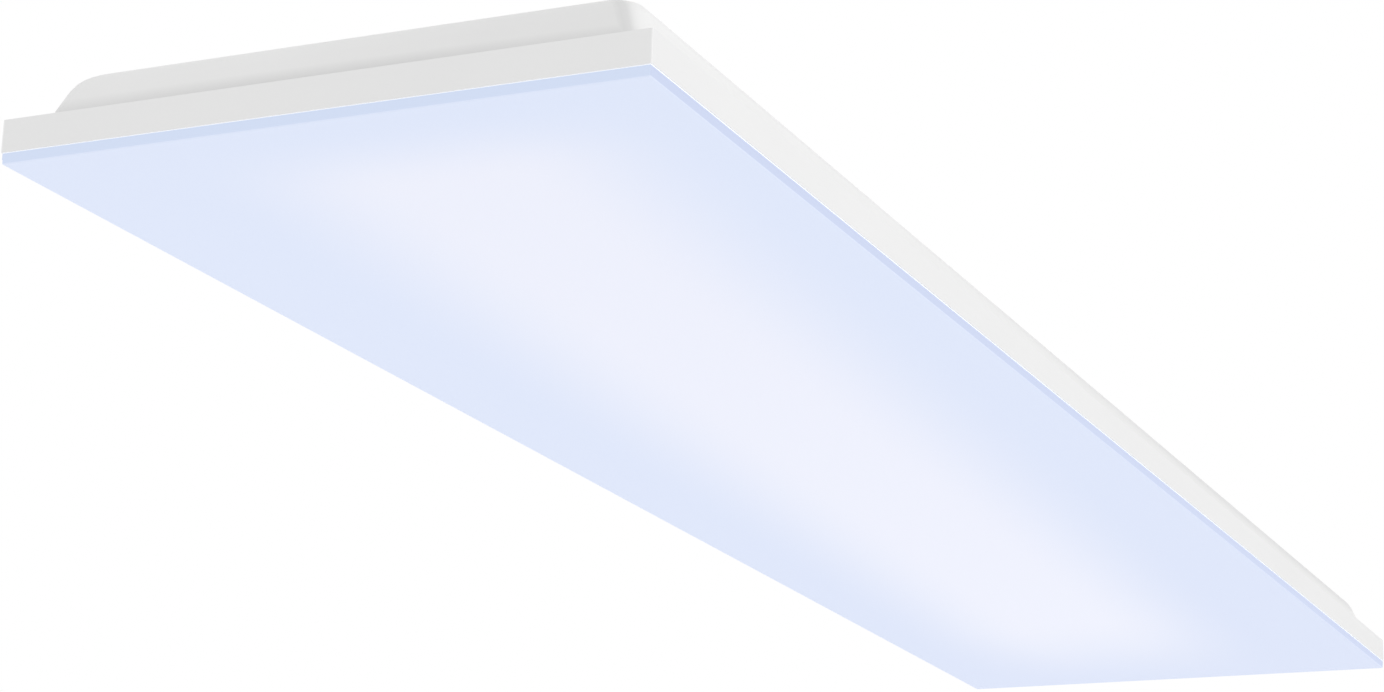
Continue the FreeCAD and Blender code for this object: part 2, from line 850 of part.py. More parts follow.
driver_half_width = s.driver_width / 2
driver_top = plate_top + s.driver_height
driver_board_top = plate_top + s.driver_wall + s.driver_board_clearance + s.driver_board_thickness
input_low_x = driver_high_x - s.driver_wall - s.driver_plug_length
output_high_x = driver_low_x + s.driver_wall + s.driver_plug_length


def window(label, low_x, high_x, width):
    """The opening in an end wall that a connector looks through."""
    return box(label, (low_x, high_x), (-width / 2, width / 2),
               (driver_board_top, driver_board_top + s.driver_plug_height))


def make_driver_case():
    low, high = driver_low_x, driver_high_x
    outside = box("case_outside", (low, high), (-driver_half_width, driver_half_width),
                  (plate_top, driver_top))
    inside = box("case_inside", (low + s.driver_wall, high - s.driver_wall),
                 (s.driver_wall - driver_half_width, driver_half_width - s.driver_wall),
                 (plate_top + s.driver_wall, driver_top + s.overrun))
    tabs = box("case_tabs", (low - s.driver_tab_length, high + s.driver_tab_length),
               (-s.driver_tab_width / 2, s.driver_tab_width / 2), (plate_top, plate_top + s.driver_wall))
    cuts = [
        inside,
        window("input_window", high - s.driver_wall - s.overrun, high + s.overrun, s.driver_input_width),
        window("output_window", low - s.overrun, low + s.driver_wall + s.overrun, s.driver_output_width),
    ]
    for x, y in driver_screw_places:
        cuts.append(rod("tab_hole", "Z", (x, y, plate_top - s.overrun),
                        s.screw_shank_radius + s.running_gap, s.driver_wall + s.overrun * 2))
    posts = []
    step = s.driver_length / 4
    for i in (1, 3):
        for side in (-1, 1):
            posts.append(rod("case_post", "Z", (low + step * i, driver_half_width / 2 * side,
                                                plate_top + s.driver_wall),
                             s.driver_board_clearance / 2, s.driver_board_clearance))
    shell = cut("case_shell", join("case_blank", [outside, tabs]), cuts)
    name_node(join("case", [shell] + posts), "driver_case")


def make_driver_cover():
    low, high = driver_low_x, driver_high_x
    wall = s.driver_wall
    outside = box("cover_outside", (low - wall, high + wall),
                  (-driver_half_width - wall, driver_half_width + wall),
                  (driver_top + wall - s.cover_height, driver_top + wall))
    inside = box("cover_inside", (low, high), (-driver_half_width, driver_half_width),
                 (driver_top - s.cover_height, driver_top))
    opening_top = driver_board_top + s.driver_plug_height + s.side_gap
    ends = box("cover_ends", (low - wall - s.overrun, high + wall + s.overrun),
               (-s.driver_input_width / 2, s.driver_input_width / 2),
               (driver_top - s.cover_height, opening_top))
    vents = []
    for i in range(VENT_COUNT):
        x = s.vent_pitch * (i - (VENT_COUNT - 1) / 2) - s.driver_distance
        vents.append(box("vent", (x - s.vent_width / 2, x + s.vent_width / 2),
                         (-s.vent_length / 2, s.vent_length / 2),
                         (driver_top - s.overrun, driver_top + wall + s.overrun)))
    name_node(cut("cover", outside, [inside, ends] + vents), "driver_cover")


def make_driver_board():
    low = driver_low_x + s.driver_wall + s.side_gap
    high = driver_high_x - s.driver_wall - s.side_gap
    half_y = driver_half_width - s.driver_wall - s.side_gap
    board = box("circuit_board", (low, high), (-half_y, half_y),
                (driver_board_top - s.driver_board_thickness, driver_board_top))
    name_node(board, "driver_board")
    name_node(group("driver_part_set", driver_components()), "driver_components")


# Places and sizes of the parts on the driver's board, as shares of its length, width and headroom
BLOCK_SHARES = ((0.28, 0.1, 0.14, 0.55, 0.85), (0.52, -0.15, 0.1, 0.45, 0.7), (0.68, 0.2, 0.05, 0.35, 0.8))
CAN_SHARES = ((0.4, -0.25, 0.16, 0.9), (0.62, 0.28, 0.12, 0.75), (0.78, -0.22, 0.13, 0.8))


def driver_components():
    """Transformer, filter and can capacitors on the board."""
    headroom = s.driver_height - (driver_board_top - plate_top) - s.side_gap
    parts = []
    for along, across, long_share, wide_share, tall_share in BLOCK_SHARES:
        x = driver_low_x + s.driver_length * along
        y = s.driver_width * across
        half_x = s.driver_length * long_share / 2
        half_y = s.driver_width * wide_share / 2
        parts.append(box("component_block", (x - half_x, x + half_x), (y - half_y, y + half_y),
                         (driver_board_top, driver_board_top + headroom * tall_share)))
    for along, across, radius_share, tall_share in CAN_SHARES:
        place_of_can = (driver_low_x + s.driver_length * along, s.driver_width * across,
                        driver_board_top)
        parts.append(rod("component_can", "Z", place_of_can, s.driver_width * radius_share,
                         headroom * tall_share))
    return parts


def make_driver_connectors():
    """The plug blocks behind the case's windows, with a hole for each wire."""
    z = (driver_board_top, driver_board_top + s.driver_plug_height)
    body = box("input_body", (input_low_x, driver_high_x),
               (-s.driver_input_width / 2, s.driver_input_width / 2), z)
    holes = []
    for side in (-1, 1):
        holes.append(rod("input_hole", "X", (driver_high_x - s.outlet_depth,
                                             s.driver_input_pitch / 2 * side, driver_wire_level),
                         s.mains_wire_radius + s.wire_play, s.outlet_depth + s.overrun))
    name_node(cut("input", body, holes), "driver_input_connector")

    body = box("output_body", (driver_low_x, output_high_x),
               (-s.driver_output_width / 2, s.driver_output_width / 2), z)
    holes = []
    for lane in (-3, -1, 1, 3):
        holes.append(rod("output_hole", "X", (driver_low_x - s.overrun, s.lead_pitch / 2 * lane,
                                              driver_wire_level),
                         s.lead_radius + s.wire_play, s.outlet_depth + s.overrun))
    name_node(cut("output", body, holes), "driver_output_connector")


driver_wire_level = plate_top + s.lead_height + s.wire_play
lead_under = board_face - s.connector_height / 2


# Terminal block: three poles, each with a wire entry, an outlet and a lever that opens its clamp

block_low_x = s.block_distance - s.block_length / 2
block_high_x = s.block_distance + s.block_length / 2
block_half_y = s.pole_pitch * POLE_COUNT / 2 + s.block_edge
block_top = plate_top + s.block_height
pivot_x = block_high_x + s.lever_overhang - s.lever_length
pivot_z = block_top - s.lever_hub_radius
slot_floor = block_top - s.lever_thickness - s.side_gap
entry_level = plate_top + s.entry_height
lever_slot_half = s.lever_width / 2 + s.side_gap


def pole_y(pole):
    return s.pole_pitch * (pole - (POLE_COUNT - 1) / 2)


def make_terminal_block():
    body = box("block_body", (block_low_x, block_high_x), (-block_half_y, block_half_y),
               (plate_top, block_top))
    cuts = []
    for pole in range(POLE_COUNT):
        y = pole_y(pole)
        low_y, high_y = y - lever_slot_half, y + lever_slot_half
        hub = s.lever_hub_radius + s.side_gap
        cuts.append(box("lever_slot", (pivot_x - hub, block_high_x + s.overrun), (low_y, high_y),
                        (slot_floor, block_top + s.overrun)))
        cuts.append(rod("hub_pocket", "Y", (pivot_x, low_y, pivot_z), hub, lever_slot_half * 2))
        cuts.append(box("wire_entry", (block_high_x - s.entry_depth, block_high_x + s.overrun),
                        (y - s.entry_width / 2, y + s.entry_width / 2),
                        (entry_level - s.entry_width / 2, entry_level + s.entry_width / 2)))
        cuts.append(rod("wire_outlet", "X", (block_low_x - s.overrun, y, entry_level),
                        s.mains_wire_radius + s.wire_play, s.outlet_depth + s.overrun))
    journal = pole_y(POLE_COUNT - 1) + lever_slot_half + s.trunnion_engagement + s.wire_play
    cuts.append(rod("journals", "Y", (pivot_x, -journal, pivot_z), s.trunnion_radius + s.running_gap,
                    journal * 2))
    name_node(cut("block", body, cuts), "terminal_block")


def make_terminal_levers():
    for pole in range(POLE_COUNT):
        y = pole_y(pole)
        half = s.lever_width / 2
        reach = half + s.side_gap + s.trunnion_engagement
        arm = box("lever_arm", (pivot_x, block_high_x + s.lever_overhang), (y - half, y + half),
                  (block_top - s.lever_thickness, block_top))
        hub = rod("lever_hub", "Y", (pivot_x, y - half, pivot_z), s.lever_hub_radius, s.lever_width)
        pin = rod("lever_pin", "Y", (pivot_x, y - reach, pivot_z), s.trunnion_radius, reach * 2)
        name_node(join(f"lever_{pole}", [arm, hub, pin]), f"terminal_lever_{pole + 1}")


# Earth screw and ring lug


def make_earth():
    at = (zero, s.earth_distance)
    seat = plate_top + s.lug_thickness
    stud = rod("stud", "Z", (*at, panel_top - s.overrun), s.earth_stud_radius,
               s.earth_stud_height + s.overrun)
    nut = doc.addObject("Part::Prism", "nut")
    nut.Polygon = 6
    bind(nut, "Circumradius", s.earth_nut_radius)
    bind(nut, "Height", s.earth_nut_height)
    place(nut, *at, seat)
    name_node(join("earth", [stud, nut]), "earth_screw")

    ring = rod("lug_ring", "Z", (*at, plate_top), s.lug_ring_radius, s.lug_thickness)
    tongue = box("lug_tongue", (-s.lug_barrel_radius, s.lug_barrel_radius),
                 (lug_mouth, s.earth_distance - s.earth_stud_radius), (plate_top, seat))
    barrel = rod("lug_barrel", "Y", (zero, lug_mouth, lug_level), s.lug_barrel_radius,
                 s.lug_barrel_length)
    hole = rod("lug_hole", "Z", (*at, plate_top - s.overrun), s.earth_stud_radius,
               s.lug_thickness + s.overrun * 2)
    socket = rod("lug_socket", "Y", (zero, lug_mouth - s.overrun, lug_level),
                 s.mains_wire_radius + s.wire_play, s.lug_barrel_length / 2 + s.overrun)
    name_node(cut("lug", join("lug_blank", [ring, tongue, barrel]), [hole, socket]), "earth_lug")


lug_level = plate_top + s.lug_barrel_radius
lug_mouth = s.earth_distance - s.earth_nut_radius - s.side_gap - s.lug_barrel_length


# Wires, held at both ends: straight runs joined by tangent arcs

ARC_SHARE = 0.45
HELD_ARC_SHARE = 0.3


def wire_path(points, share):
    """Runs between the points, with an arc at each turn as large as its two runs allow."""
    edges = []
    start = points[0]
    for before, corner, after in zip(points, points[1:], points[2:]):
        arriving = corner - before
        leaving = after - corner
        turn = arriving.getAngle(leaving)
        reach = share * min(arriving.Length, leaving.Length)
        radius = reach / math.tan(turn / 2)
        enter = corner - FreeCAD.Vector(arriving).normalize() * reach
        leave = corner + FreeCAD.Vector(leaving).normalize() * reach
        bisector = (enter + leave) * 0.5 - corner
        rise = radius / math.cos(turn / 2) - radius
        middle = corner + FreeCAD.Vector(bisector).normalize() * rise
        edges.append(Part.LineSegment(start, enter).toShape())
        edges.append(Part.Arc(enter, middle, leave).toShape())
        start = leave
        radii.append(radius)
    edges.append(Part.LineSegment(start, points[-1]).toShape())
    return Part.Wire(edges)


radii = []


def make_wire(label, route, radius, share):
    """A round insulated wire along its route."""
    points = [FreeCAD.Vector(*(coordinate.value for coordinate in point)) for point in route]
    path = wire_path(points, share)
    section = Part.Wire(Part.Circle(points[0], points[1] - points[0], radius.value).toShape())
    feature = doc.addObject("Part::Feature", label)
    feature.Shape = path.makePipeShell([section], True, False)
    name_node(feature, label)


holder_middle = driver_high_x + s.holder_distance


def make_mains_wires():
    """Live and neutral from the block to the driver, and earth from the block to its lug."""
    inside = s.outlet_depth - s.wire_play
    block_exit = block_low_x - s.block_length / 2
    holder_low = holder_middle - s.holder_length * 2
    holder_high = holder_middle + s.holder_length * 2
    for name, pole, side in (("live", 0, -1), ("neutral", 1, 1)):
        lane = s.driver_input_pitch / 2 * side
        route = [
            (block_low_x + inside, pole_y(pole), entry_level),
            (block_exit, pole_y(pole), entry_level),
            (holder_high, lane, entry_level),
            (holder_low, lane, entry_level),
            (driver_high_x + s.driver_tab_length / 2, lane, driver_wire_level),
            (driver_high_x - inside, lane, driver_wire_level),
        ]
        make_wire(f"wire_{name}", route, s.mains_wire_radius, HELD_ARC_SHARE)
    pole = POLE_COUNT - 1
    bend = block_low_x / 2
    route = [
        (block_low_x + inside, pole_y(pole), entry_level),
        (bend, pole_y(pole), entry_level),
        (bend / 4, (pole_y(pole) + lug_mouth) / 2, (entry_level + lug_level) / 2),
        (zero, lug_mouth - s.lug_barrel_length / 2, lug_level),
        (zero, lug_mouth + s.lug_barrel_length / 2 - s.wire_play, lug_level),
    ]
    make_wire("wire_earth", route, s.mains_wire_radius, ARC_SHARE)


def make_wire_holder():
    """A comb on the plate that the mains wires press into."""
    half = s.driver_input_pitch / 2 + s.mains_wire_radius + s.holder_wall
    top = entry_level + s.mains_wire_radius + s.holder_wall / 2
    x = (holder_middle - s.holder_length / 2, holder_middle + s.holder_length / 2)
    body = box("holder_body", x, (-half, half), (plate_top, top))
    cuts = []
    for side in (-1, 1):
        lane = s.driver_input_pitch / 2 * side
        radius = s.mains_wire_radius + s.wire_play
        cuts.append(rod("holder_seat", "X", (x[0] - s.overrun, lane, entry_level), radius,
                        s.holder_length + s.overrun * 2))
        cuts.append(box("holder_mouth", (x[0] - s.overrun, x[1] + s.overrun),
                        (lane - s.mains_wire_radius, lane + s.mains_wire_radius),
                        (entry_level, top + s.overrun)))
    name_node(cut("holder", body, cuts), "wire_holder")


def make_led_leads():
    """Two leads to each row of boards, down through the bush in the gear plate."""
    inside = s.outlet_depth - s.wire_play
    for name, side in (("row_1", -1), ("row_2", 1)):
        for pole, offset, lane in (("plus", -1, 3), ("minus", 1, 1)):
            x = lead_x + s.lead_pitch / 2 * offset
            y = s.lead_pitch / 2 * lane * side
            end = (connector_start + s.connector_width / 2 - s.wire_play) * side
            route = [
                (driver_low_x + inside, y, driver_wire_level),
                (x, y, driver_wire_level),
                (x, y, lead_under),
                (x, end, lead_under),
            ]
            make_wire(f"lead_{name}_{pole}", route, s.lead_radius, ARC_SHARE)


def make_lead_bush():
    """A rubber bush that guards the leads at the plate's edge."""
    hole = s.lead_bore_radius + s.bush_wall
    flange = hole + s.bush_flange_width
    thickness = s.bush_flange_thickness
    bottom = panel_top - thickness
    height = s.plate_sheet + thickness * 2
    lower = rod("bush_lower", "Z", (*lead_bore_place, bottom), flange, thickness)
    neck = rod("bush_neck", "Z", (*lead_bore_place, bottom), hole, height)
    upper = rod("bush_upper", "Z", (*lead_bore_place, plate_top), flange, thickness)
    bore = rod("bush_bore", "Z", (*lead_bore_place, bottom - s.overrun), s.lead_bore_radius,
               height + s.overrun * 2)
    name_node(cut("bush", join("bush_ring", [lower, neck, upper]), [bore]), "lead_bush")


# Hinges: a lug welded to the tray's wall, ears riveted to the rail's ledge, and a pin

axis_y = half_width - s.hinge_axis_margin
axis_z = panel_top + s.hinge_axis_height
ear_inner = s.hinge_knuckle_length / 2 + s.hinge_ear_gap
ear_outer = ear_inner + s.hinge_ear_thickness


def tray_wall_y(height):
    """How far out the tray's +Y wall stands at a height."""
    tangent = lean.sine() / lean.cosine()
    return half_width - s.tray_side_inset - (height - tray_rim) * tangent


def make_hinge(number, centre):
    low_x = centre - s.hinge_knuckle_length / 2
    foot_low = axis_z - s.hinge_knuckle_radius / 2
    foot_high = foot_low + s.hinge_foot_height
    outline = [
        (tray_wall_y(foot_low), foot_low),
        (axis_y, foot_low),
        (axis_y, axis_z + s.hinge_knuckle_radius),
        (tray_wall_y(foot_high) + s.hinge_foot_thickness, foot_high),
        (tray_wall_y(foot_high), foot_high),
    ]
    arm = doc.addObject("PartDesign::Body", f"lug_arm_{number}")
    prism(arm, f"lug_arm_pad_{number}", "YZ_Plane", [outline], low_x, s.hinge_knuckle_length)
    knuckle = rod("knuckle", "X", (low_x, axis_y, axis_z), s.hinge_knuckle_radius,
                  s.hinge_knuckle_length)
    bore = rod("knuckle_bore", "X", (low_x - s.overrun, axis_y, axis_z),
               s.hinge_pin_radius + s.running_gap, s.hinge_knuckle_length + s.overrun * 2)
    lug = cut(f"lug_{number}", join(f"lug_blank_{number}", [arm, knuckle]), [bore])
    name_node(lug, f"hinge_lug_{number}")
    make_hinge_ears(number, centre)
    length = (ear_outer + s.running_gap) * 2
    pin = rod("pin", "X", (centre - ear_outer - s.running_gap, axis_y, axis_z), s.hinge_pin_radius,
              length)
    head = rod("pin_head", "X", (centre + ear_outer + s.running_gap, axis_y, axis_z),
               s.pin_head_radius, s.pin_head_height)
    name_node(join(f"pin_{number}", [pin, head]), f"hinge_pin_{number}")


def make_hinge_ears(number, centre):
    """Two bent ears with their riveted tabs, one solid each."""
    ears = []
    for side in (-1, 1):
        near, far = (ear_inner, ear_outer) if side > 0 else (-ear_outer, -ear_inner)
        x = (centre + near, centre + far)
        plate = box("ear_plate", x, (axis_y - s.hinge_knuckle_radius, axis_y + s.hinge_knuckle_radius),
                    (panel_top, axis_z))
        crown = rod("ear_crown", "X", (x[0], axis_y, axis_z), s.hinge_knuckle_radius,
                    s.hinge_ear_thickness)
        tab_span = (ear_inner, ear_inner + s.hinge_tab_length)
        near_tab, far_tab = tab_span if side > 0 else (-tab_span[1], -tab_span[0])
        tab = box("ear_tab", (centre + near_tab, centre + far_tab),
                  (axis_y - s.hinge_tab_width / 2, axis_y + s.hinge_tab_width / 2),
                  (panel_top, panel_top + s.hinge_base_thickness))
        hole = rod("ear_hole", "X", (x[0] - s.overrun, axis_y, axis_z),
                   s.hinge_pin_radius + s.running_gap, s.hinge_ear_thickness + s.overrun * 2)
        ears.append(cut(f"ear_{number}", join("ear_blank", [plate, crown, tab]), [hole]))
    name_node(group(f"ears_{number}", ears), f"hinge_ears_{number}")


# Catches: a bent spring clip on the panel grips a stud held by a keeper on the tray

catch_y = s.catch_side_margin - half_width
catch_z = plate_top + s.catch_stud_height


def make_catch(number, centre):
    inner = s.catch_stud_radius + s.clip_play
    outer = inner + s.clip_strip
    low = plate_top
    bend = catch_z + s.clip_rise
    tip = bend + s.clip_rise
    outline = [
        (-outer, low), (outer, low), (outer, bend), (outer + s.clip_flare, tip),
        (inner + s.clip_flare, tip), (inner, bend), (inner, low + s.clip_strip),
        (-inner, low + s.clip_strip), (-inner, bend), (-inner - s.clip_flare, tip),
        (-outer - s.clip_flare, tip), (-outer, bend),
    ]
    clip = doc.addObject("PartDesign::Body", f"clip_{number}")
    prism(clip, f"clip_pad_{number}", "YZ_Plane", [[(y + catch_y, z) for y, z in outline]],
          centre - s.clip_width / 2, s.clip_width)
    name_node(clip, f"catch_clip_{number}")

    half_inside = s.keeper_inside / 2
    half_outside = half_inside + s.keeper_sheet
    top = -s.tray_sheet
    bottom = catch_z - s.catch_stud_radius - s.keeper_edge
    depth = (catch_y - s.keeper_depth / 2, catch_y + s.keeper_depth / 2)
    yoke = box("yoke", (centre - half_outside, centre + half_outside), depth, (bottom, top))
    gap = box("yoke_gap", (centre - half_inside, centre + half_inside),
              (depth[0] - s.overrun, depth[1] + s.overrun), (bottom - s.overrun, top - s.keeper_sheet))
    hole = rod("yoke_hole", "X", (centre - half_outside - s.overrun, catch_y, catch_z),
               s.catch_stud_radius, (half_outside + s.overrun) * 2)
    name_node(cut(f"yoke_{number}", yoke, [gap, hole]), f"catch_keeper_{number}")
    stud = rod(f"stud_{number}", "X", (centre - half_outside, catch_y, catch_z),
               s.catch_stud_radius, half_outside * 2)
    name_node(stud, f"catch_stud_{number}")


# The whole light

make_ceiling_tray()
make_cable_grommet()
make_rail("frame_rail_front", True, -1)
make_rail("frame_rail_hinge", True, 1)
make_rail("frame_rail_near_end", False, -1)
make_rail("frame_rail_far_end", False, 1)
make_corner_keys()
make_gear_plate()
make_screws()
make_diffuser()
make_boards()
make_board_connectors()
make_driver_case()
make_driver_cover()
make_driver_board()
make_driver_connectors()
make_terminal_block()
make_terminal_levers()
make_earth()
make_mains_wires()
make_wire_holder()
make_led_leads()
make_lead_bush()
for hinge, hinge_side in ((1, -1), (2, 1)):
    make_hinge(hinge, (half_length - s.hinge_end_margin) * hinge_side)
for catch, catch_side in ((1, -1), (2, 1)):
    make_catch(catch, (half_length - s.catch_end_margin) * catch_side)
doc.recompute()

# Every object has to be sound before anything is written
faults = [obj.Name for obj in doc.Objects if "Invalid" in obj.State or "Error" in obj.State]
for label, obj in nodes.items():
    if obj.Shape.isNull() or not obj.Shape.isValid() or not obj.Shape.Solids:
        faults.append(label)
if faults:
    raise RuntimeError("not sound: " + ", ".join(faults))

os.makedirs("parts", exist_ok=True)
for label, obj in nodes.items():
    obj.Shape.exportStep(os.path.join("parts", label + ".step"))
print(len(nodes), "sub-parts; wire radii", [round(radius, 1) for radius in radii])
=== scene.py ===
import math

import bmesh
import bpy
from mathutils import Matrix, Vector


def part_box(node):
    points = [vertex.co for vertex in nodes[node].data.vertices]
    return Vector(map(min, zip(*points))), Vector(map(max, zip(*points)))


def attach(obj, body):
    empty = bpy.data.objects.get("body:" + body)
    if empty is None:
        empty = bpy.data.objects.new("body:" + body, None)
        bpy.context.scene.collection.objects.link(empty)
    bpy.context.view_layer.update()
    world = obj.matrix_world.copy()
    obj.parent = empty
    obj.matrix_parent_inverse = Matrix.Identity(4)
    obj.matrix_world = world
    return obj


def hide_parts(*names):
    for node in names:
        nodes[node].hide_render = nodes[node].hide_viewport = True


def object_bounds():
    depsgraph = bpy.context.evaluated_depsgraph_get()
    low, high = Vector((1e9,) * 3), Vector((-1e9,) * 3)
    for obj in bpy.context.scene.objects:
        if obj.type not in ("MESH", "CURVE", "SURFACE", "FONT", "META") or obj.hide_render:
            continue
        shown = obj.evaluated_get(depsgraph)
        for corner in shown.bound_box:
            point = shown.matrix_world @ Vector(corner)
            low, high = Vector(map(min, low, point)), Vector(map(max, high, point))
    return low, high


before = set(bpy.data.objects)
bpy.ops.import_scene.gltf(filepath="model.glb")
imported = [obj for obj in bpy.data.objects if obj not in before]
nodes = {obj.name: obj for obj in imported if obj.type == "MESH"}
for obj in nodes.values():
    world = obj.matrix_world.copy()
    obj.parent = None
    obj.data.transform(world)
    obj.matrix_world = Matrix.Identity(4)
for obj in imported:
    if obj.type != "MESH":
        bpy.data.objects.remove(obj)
cad_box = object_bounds()
scene = bpy.context.scene


# The camera stands below one end of the light and looks up along it, as the photograph does.
# Its place, turn and lens come from fitting the light's edges, with no lens shift.
CAMERA_PLACE = Vector((-1.66185, -0.66025, -0.50153))
CAMERA_RIGHT = Vector((0.4112275524, -0.9110475551, 0.0297363828))
CAMERA_DOWN = Vector((0.2707882159, 0.0909482910, -0.9583330060))
CAMERA_AHEAD = Vector((0.8703824689, 0.4021451985, 0.2841013852))
CAMERA_LENS = 86.892
CAMERA_SENSOR = 36

camera = bpy.data.objects.new("camera", bpy.data.cameras.new("camera"))
camera.data.sensor_width = CAMERA_SENSOR
camera.data.lens = CAMERA_LENS
camera_turn = Matrix((CAMERA_RIGHT, -CAMERA_DOWN, -CAMERA_AHEAD)).transposed()
camera.matrix_world = Matrix.Translation(CAMERA_PLACE) @ camera_turn.to_4x4()
scene.collection.objects.link(camera)
scene.camera = camera
scene.view_settings.view_transform = "Standard"


# A white studio: the sky is plain white to the eye and gives the light an even fill.
# One wide lamp brightens the long side and a weaker one the near end. The floor lies far below.
WHITE = (1, 1, 1, 1)
FILL = (0.8, 0.8, 0.8, 1)
LAMPS = (
    ("long_side_lamp", (-0.9, -3.4, -0.3), 2.8, 30),
    ("near_end_lamp", (-3.6, 0.4, -0.2), 2.4, 7.8),
)
FLOOR_LEVEL = -7.2
FLOOR_RADIUS = 60
FLOOR_PALE = (0.95, 0.95, 0.95, 1)
FLOOR_GLOW = 0.4


def start_finish(name, roughness, metallic=0.0):
    """A material with its shader, ready for its colour and relief."""
    made = bpy.data.materials.new(name)
    made.use_nodes = True
    shader = made.node_tree.nodes["Principled BSDF"]
    shader.inputs["Roughness"].default_value = roughness
    shader.inputs["Metallic"].default_value = metallic
    return made, made.node_tree, shader


def work_out(tree, kind, first, second=None):
    """A sum on one or two values, each a socket or a plain number."""
    step = tree.nodes.new("ShaderNodeMath")
    step.operation = kind
    for socket, value in zip(step.inputs, (first, second)):
        if isinstance(value, (int, float)):
            socket.default_value = value
        elif value is not None:
            tree.links.new(value, socket)
    return step.outputs[0]


def seen_or_mirrored(tree):
    """One for the rays that look at a thing straight, by reflection or through glass."""
    path = tree.nodes.new("ShaderNodeLightPath")
    either = work_out(tree, "MAXIMUM", path.outputs["Is Camera Ray"], path.outputs["Is Glossy Ray"])
    return work_out(tree, "MAXIMUM", either, path.outputs["Is Transmission Ray"])


world = bpy.data.worlds.new("studio")
world.use_nodes = True
scene.world = world
sky = world.node_tree
fill = sky.nodes["Background"]
fill.inputs["Color"].default_value = FILL
backdrop = sky.nodes.new("ShaderNodeBackground")
backdrop.inputs["Color"].default_value = WHITE
choose = sky.nodes.new("ShaderNodeMixShader")
sky.links.new(seen_or_mirrored(sky), choose.inputs["Fac"])
sky.links.new(fill.outputs[0], choose.inputs[1])
sky.links.new(backdrop.outputs[0], choose.inputs[2])
sky.links.new(choose.outputs[0], sky.nodes["World Output"].inputs["Surface"])

for lamp_name, lamp_place, lamp_size, lamp_watts in LAMPS:
    lamp = bpy.data.objects.new(lamp_name, bpy.data.lights.new(lamp_name, "AREA"))
    lamp.data.shape = "DISK"
    lamp.data.size = lamp_size
    lamp.data.energy = lamp_watts
    lamp.location = lamp_place
    lamp.rotation_euler = (-Vector(lamp_place)).to_track_quat("-Z", "Y").to_euler()
    lamp.visible_camera = False
    lamp.visible_glossy = False
    scene.collection.objects.link(lamp)

floor_mesh = bpy.data.meshes.new("floor")
floor_edit = bmesh.new()
bmesh.ops.create_circle(floor_edit, cap_ends=True, segments=64, radius=FLOOR_RADIUS,
                        matrix=Matrix.Translation((0, 0, FLOOR_LEVEL)))
floor_edit.to_mesh(floor_mesh)
floor_edit.free()
floor = bpy.data.objects.new("floor", floor_mesh)
scene.collection.objects.link(floor)
floor_finish, floor_tree, floor_shader = start_finish("studio_floor", roughness=0.9)
floor_shader.inputs["Base Color"].default_value = FLOOR_PALE
floor_shader.inputs["Emission Color"].default_value = WHITE
floor_tree.links.new(work_out(floor_tree, "MULTIPLY", seen_or_mirrored(floor_tree), FLOOR_GLOW),
                     floor_shader.inputs["Emission Strength"])
floor_mesh.materials.append(floor_finish)


# Ceiling tray: sheet steel pressed to a shallow pan with rounded corners, then powder-coated white
# with a fine orange-peel relief. Its colour carries a painted highlight on the long walls near the
# corners, and painted shade on the foot and bends of the end walls and along the rolled edges.
POWDER_WHITE = (0.865, 0.865, 0.863)
POWDER_SHADE = (0.842, 0.842, 0.84)
# The next colour is a painted highlight, laid on the long walls next to the rounded corners.
POWDER_PAINTED_HIGHLIGHT = (0.886, 0.886, 0.884)
# The next colour is painted shade, laid on the end walls and along the rolled edges.
POWDER_PAINTED_SHADE = (0.6, 0.6, 0.6)
POWDER_CLOUD = 0.09
POWDER_ROUGHNESS = (0.38, 0.48)
PEEL_SPOT = 0.0016
PEEL_DEPTH = 0.000012
END_WALL = (-0.003, 0.002)
# Where the painted highlight lies, then where the painted shade lies.
HIGHLIGHT_CORNER = (0.001, -0.005)
HIGHLIGHT_ALONG = (0.03, 0.16)
HIGHLIGHT_ALONG_LEAST = 0.15
SHADE_FOOT_RISE = 0.0115
SHADE_FOOT_ACROSS = (0.04, 0.14)
SHADE_FOOT_LEAST = 0.7
SHADE_WALL_ACROSS = (0.06, -0.14)
SHADE_WALL_SHARE = 0.13
SHADE_BEND_IN = (0.0085, 0.0055)
SHADE_BEND_OUT = (-0.0015, 0.0025)
SHADE_BEND_ACROSS = (0, -0.05)
SHADE_BEND_SHARE = 0.32
SHADE_ROLL_RISE = (-0.016, -0.005)
SHADE_ROLL_ALONG = (-0.3, 0.2)
SHADE_ROLL_SHARE = 0.56
half_length = cad_box[1].x
half_width = cad_box[1].y
tray_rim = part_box("ceiling_tray")[0].z


def speckle(tree, spot, detail=2.0, stretch=(1, 1, 1)):
    """Noise with spots of one size in metres, drawn out along an axis where stretch is over one."""
    place = tree.nodes.new("ShaderNodeTexCoord")
    drawn = tree.nodes.new("ShaderNodeMapping")
    drawn.inputs["Scale"].default_value = [1 / s for s in stretch]
    tree.links.new(place.outputs["Object"], drawn.inputs["Vector"])
    noise = tree.nodes.new("ShaderNodeTexNoise")
    noise.inputs["Scale"].default_value = 1 / spot
    noise.inputs["Detail"].default_value = detail
    tree.links.new(drawn.outputs["Vector"], noise.inputs["Vector"])
    return noise.outputs["Fac"]


def shade_between(tree, value, low, high, start=0.3, end=0.7):
    """A colour that goes from low to high as the value goes from start to end."""
    ramp = tree.nodes.new("ShaderNodeValToRGB")
    for element, place, colour in zip(ramp.color_ramp.elements, (start, end), (low, high)):
        element.position = place
        element.color = (*colour, 1)
    tree.links.new(value, ramp.inputs["Fac"])
    return ramp.outputs["Color"]


def number_between(tree, value, low, high, start=0.3, end=0.7):
    """A number that goes from low to high as the value goes from start to end."""
    span = tree.nodes.new("ShaderNodeMapRange")
    span.inputs["From Min"].default_value = start
    span.inputs["From Max"].default_value = end
    span.inputs["To Min"].default_value = low
    span.inputs["To Max"].default_value = high
    tree.links.new(value, span.inputs["Value"])
    return span.outputs["Result"]


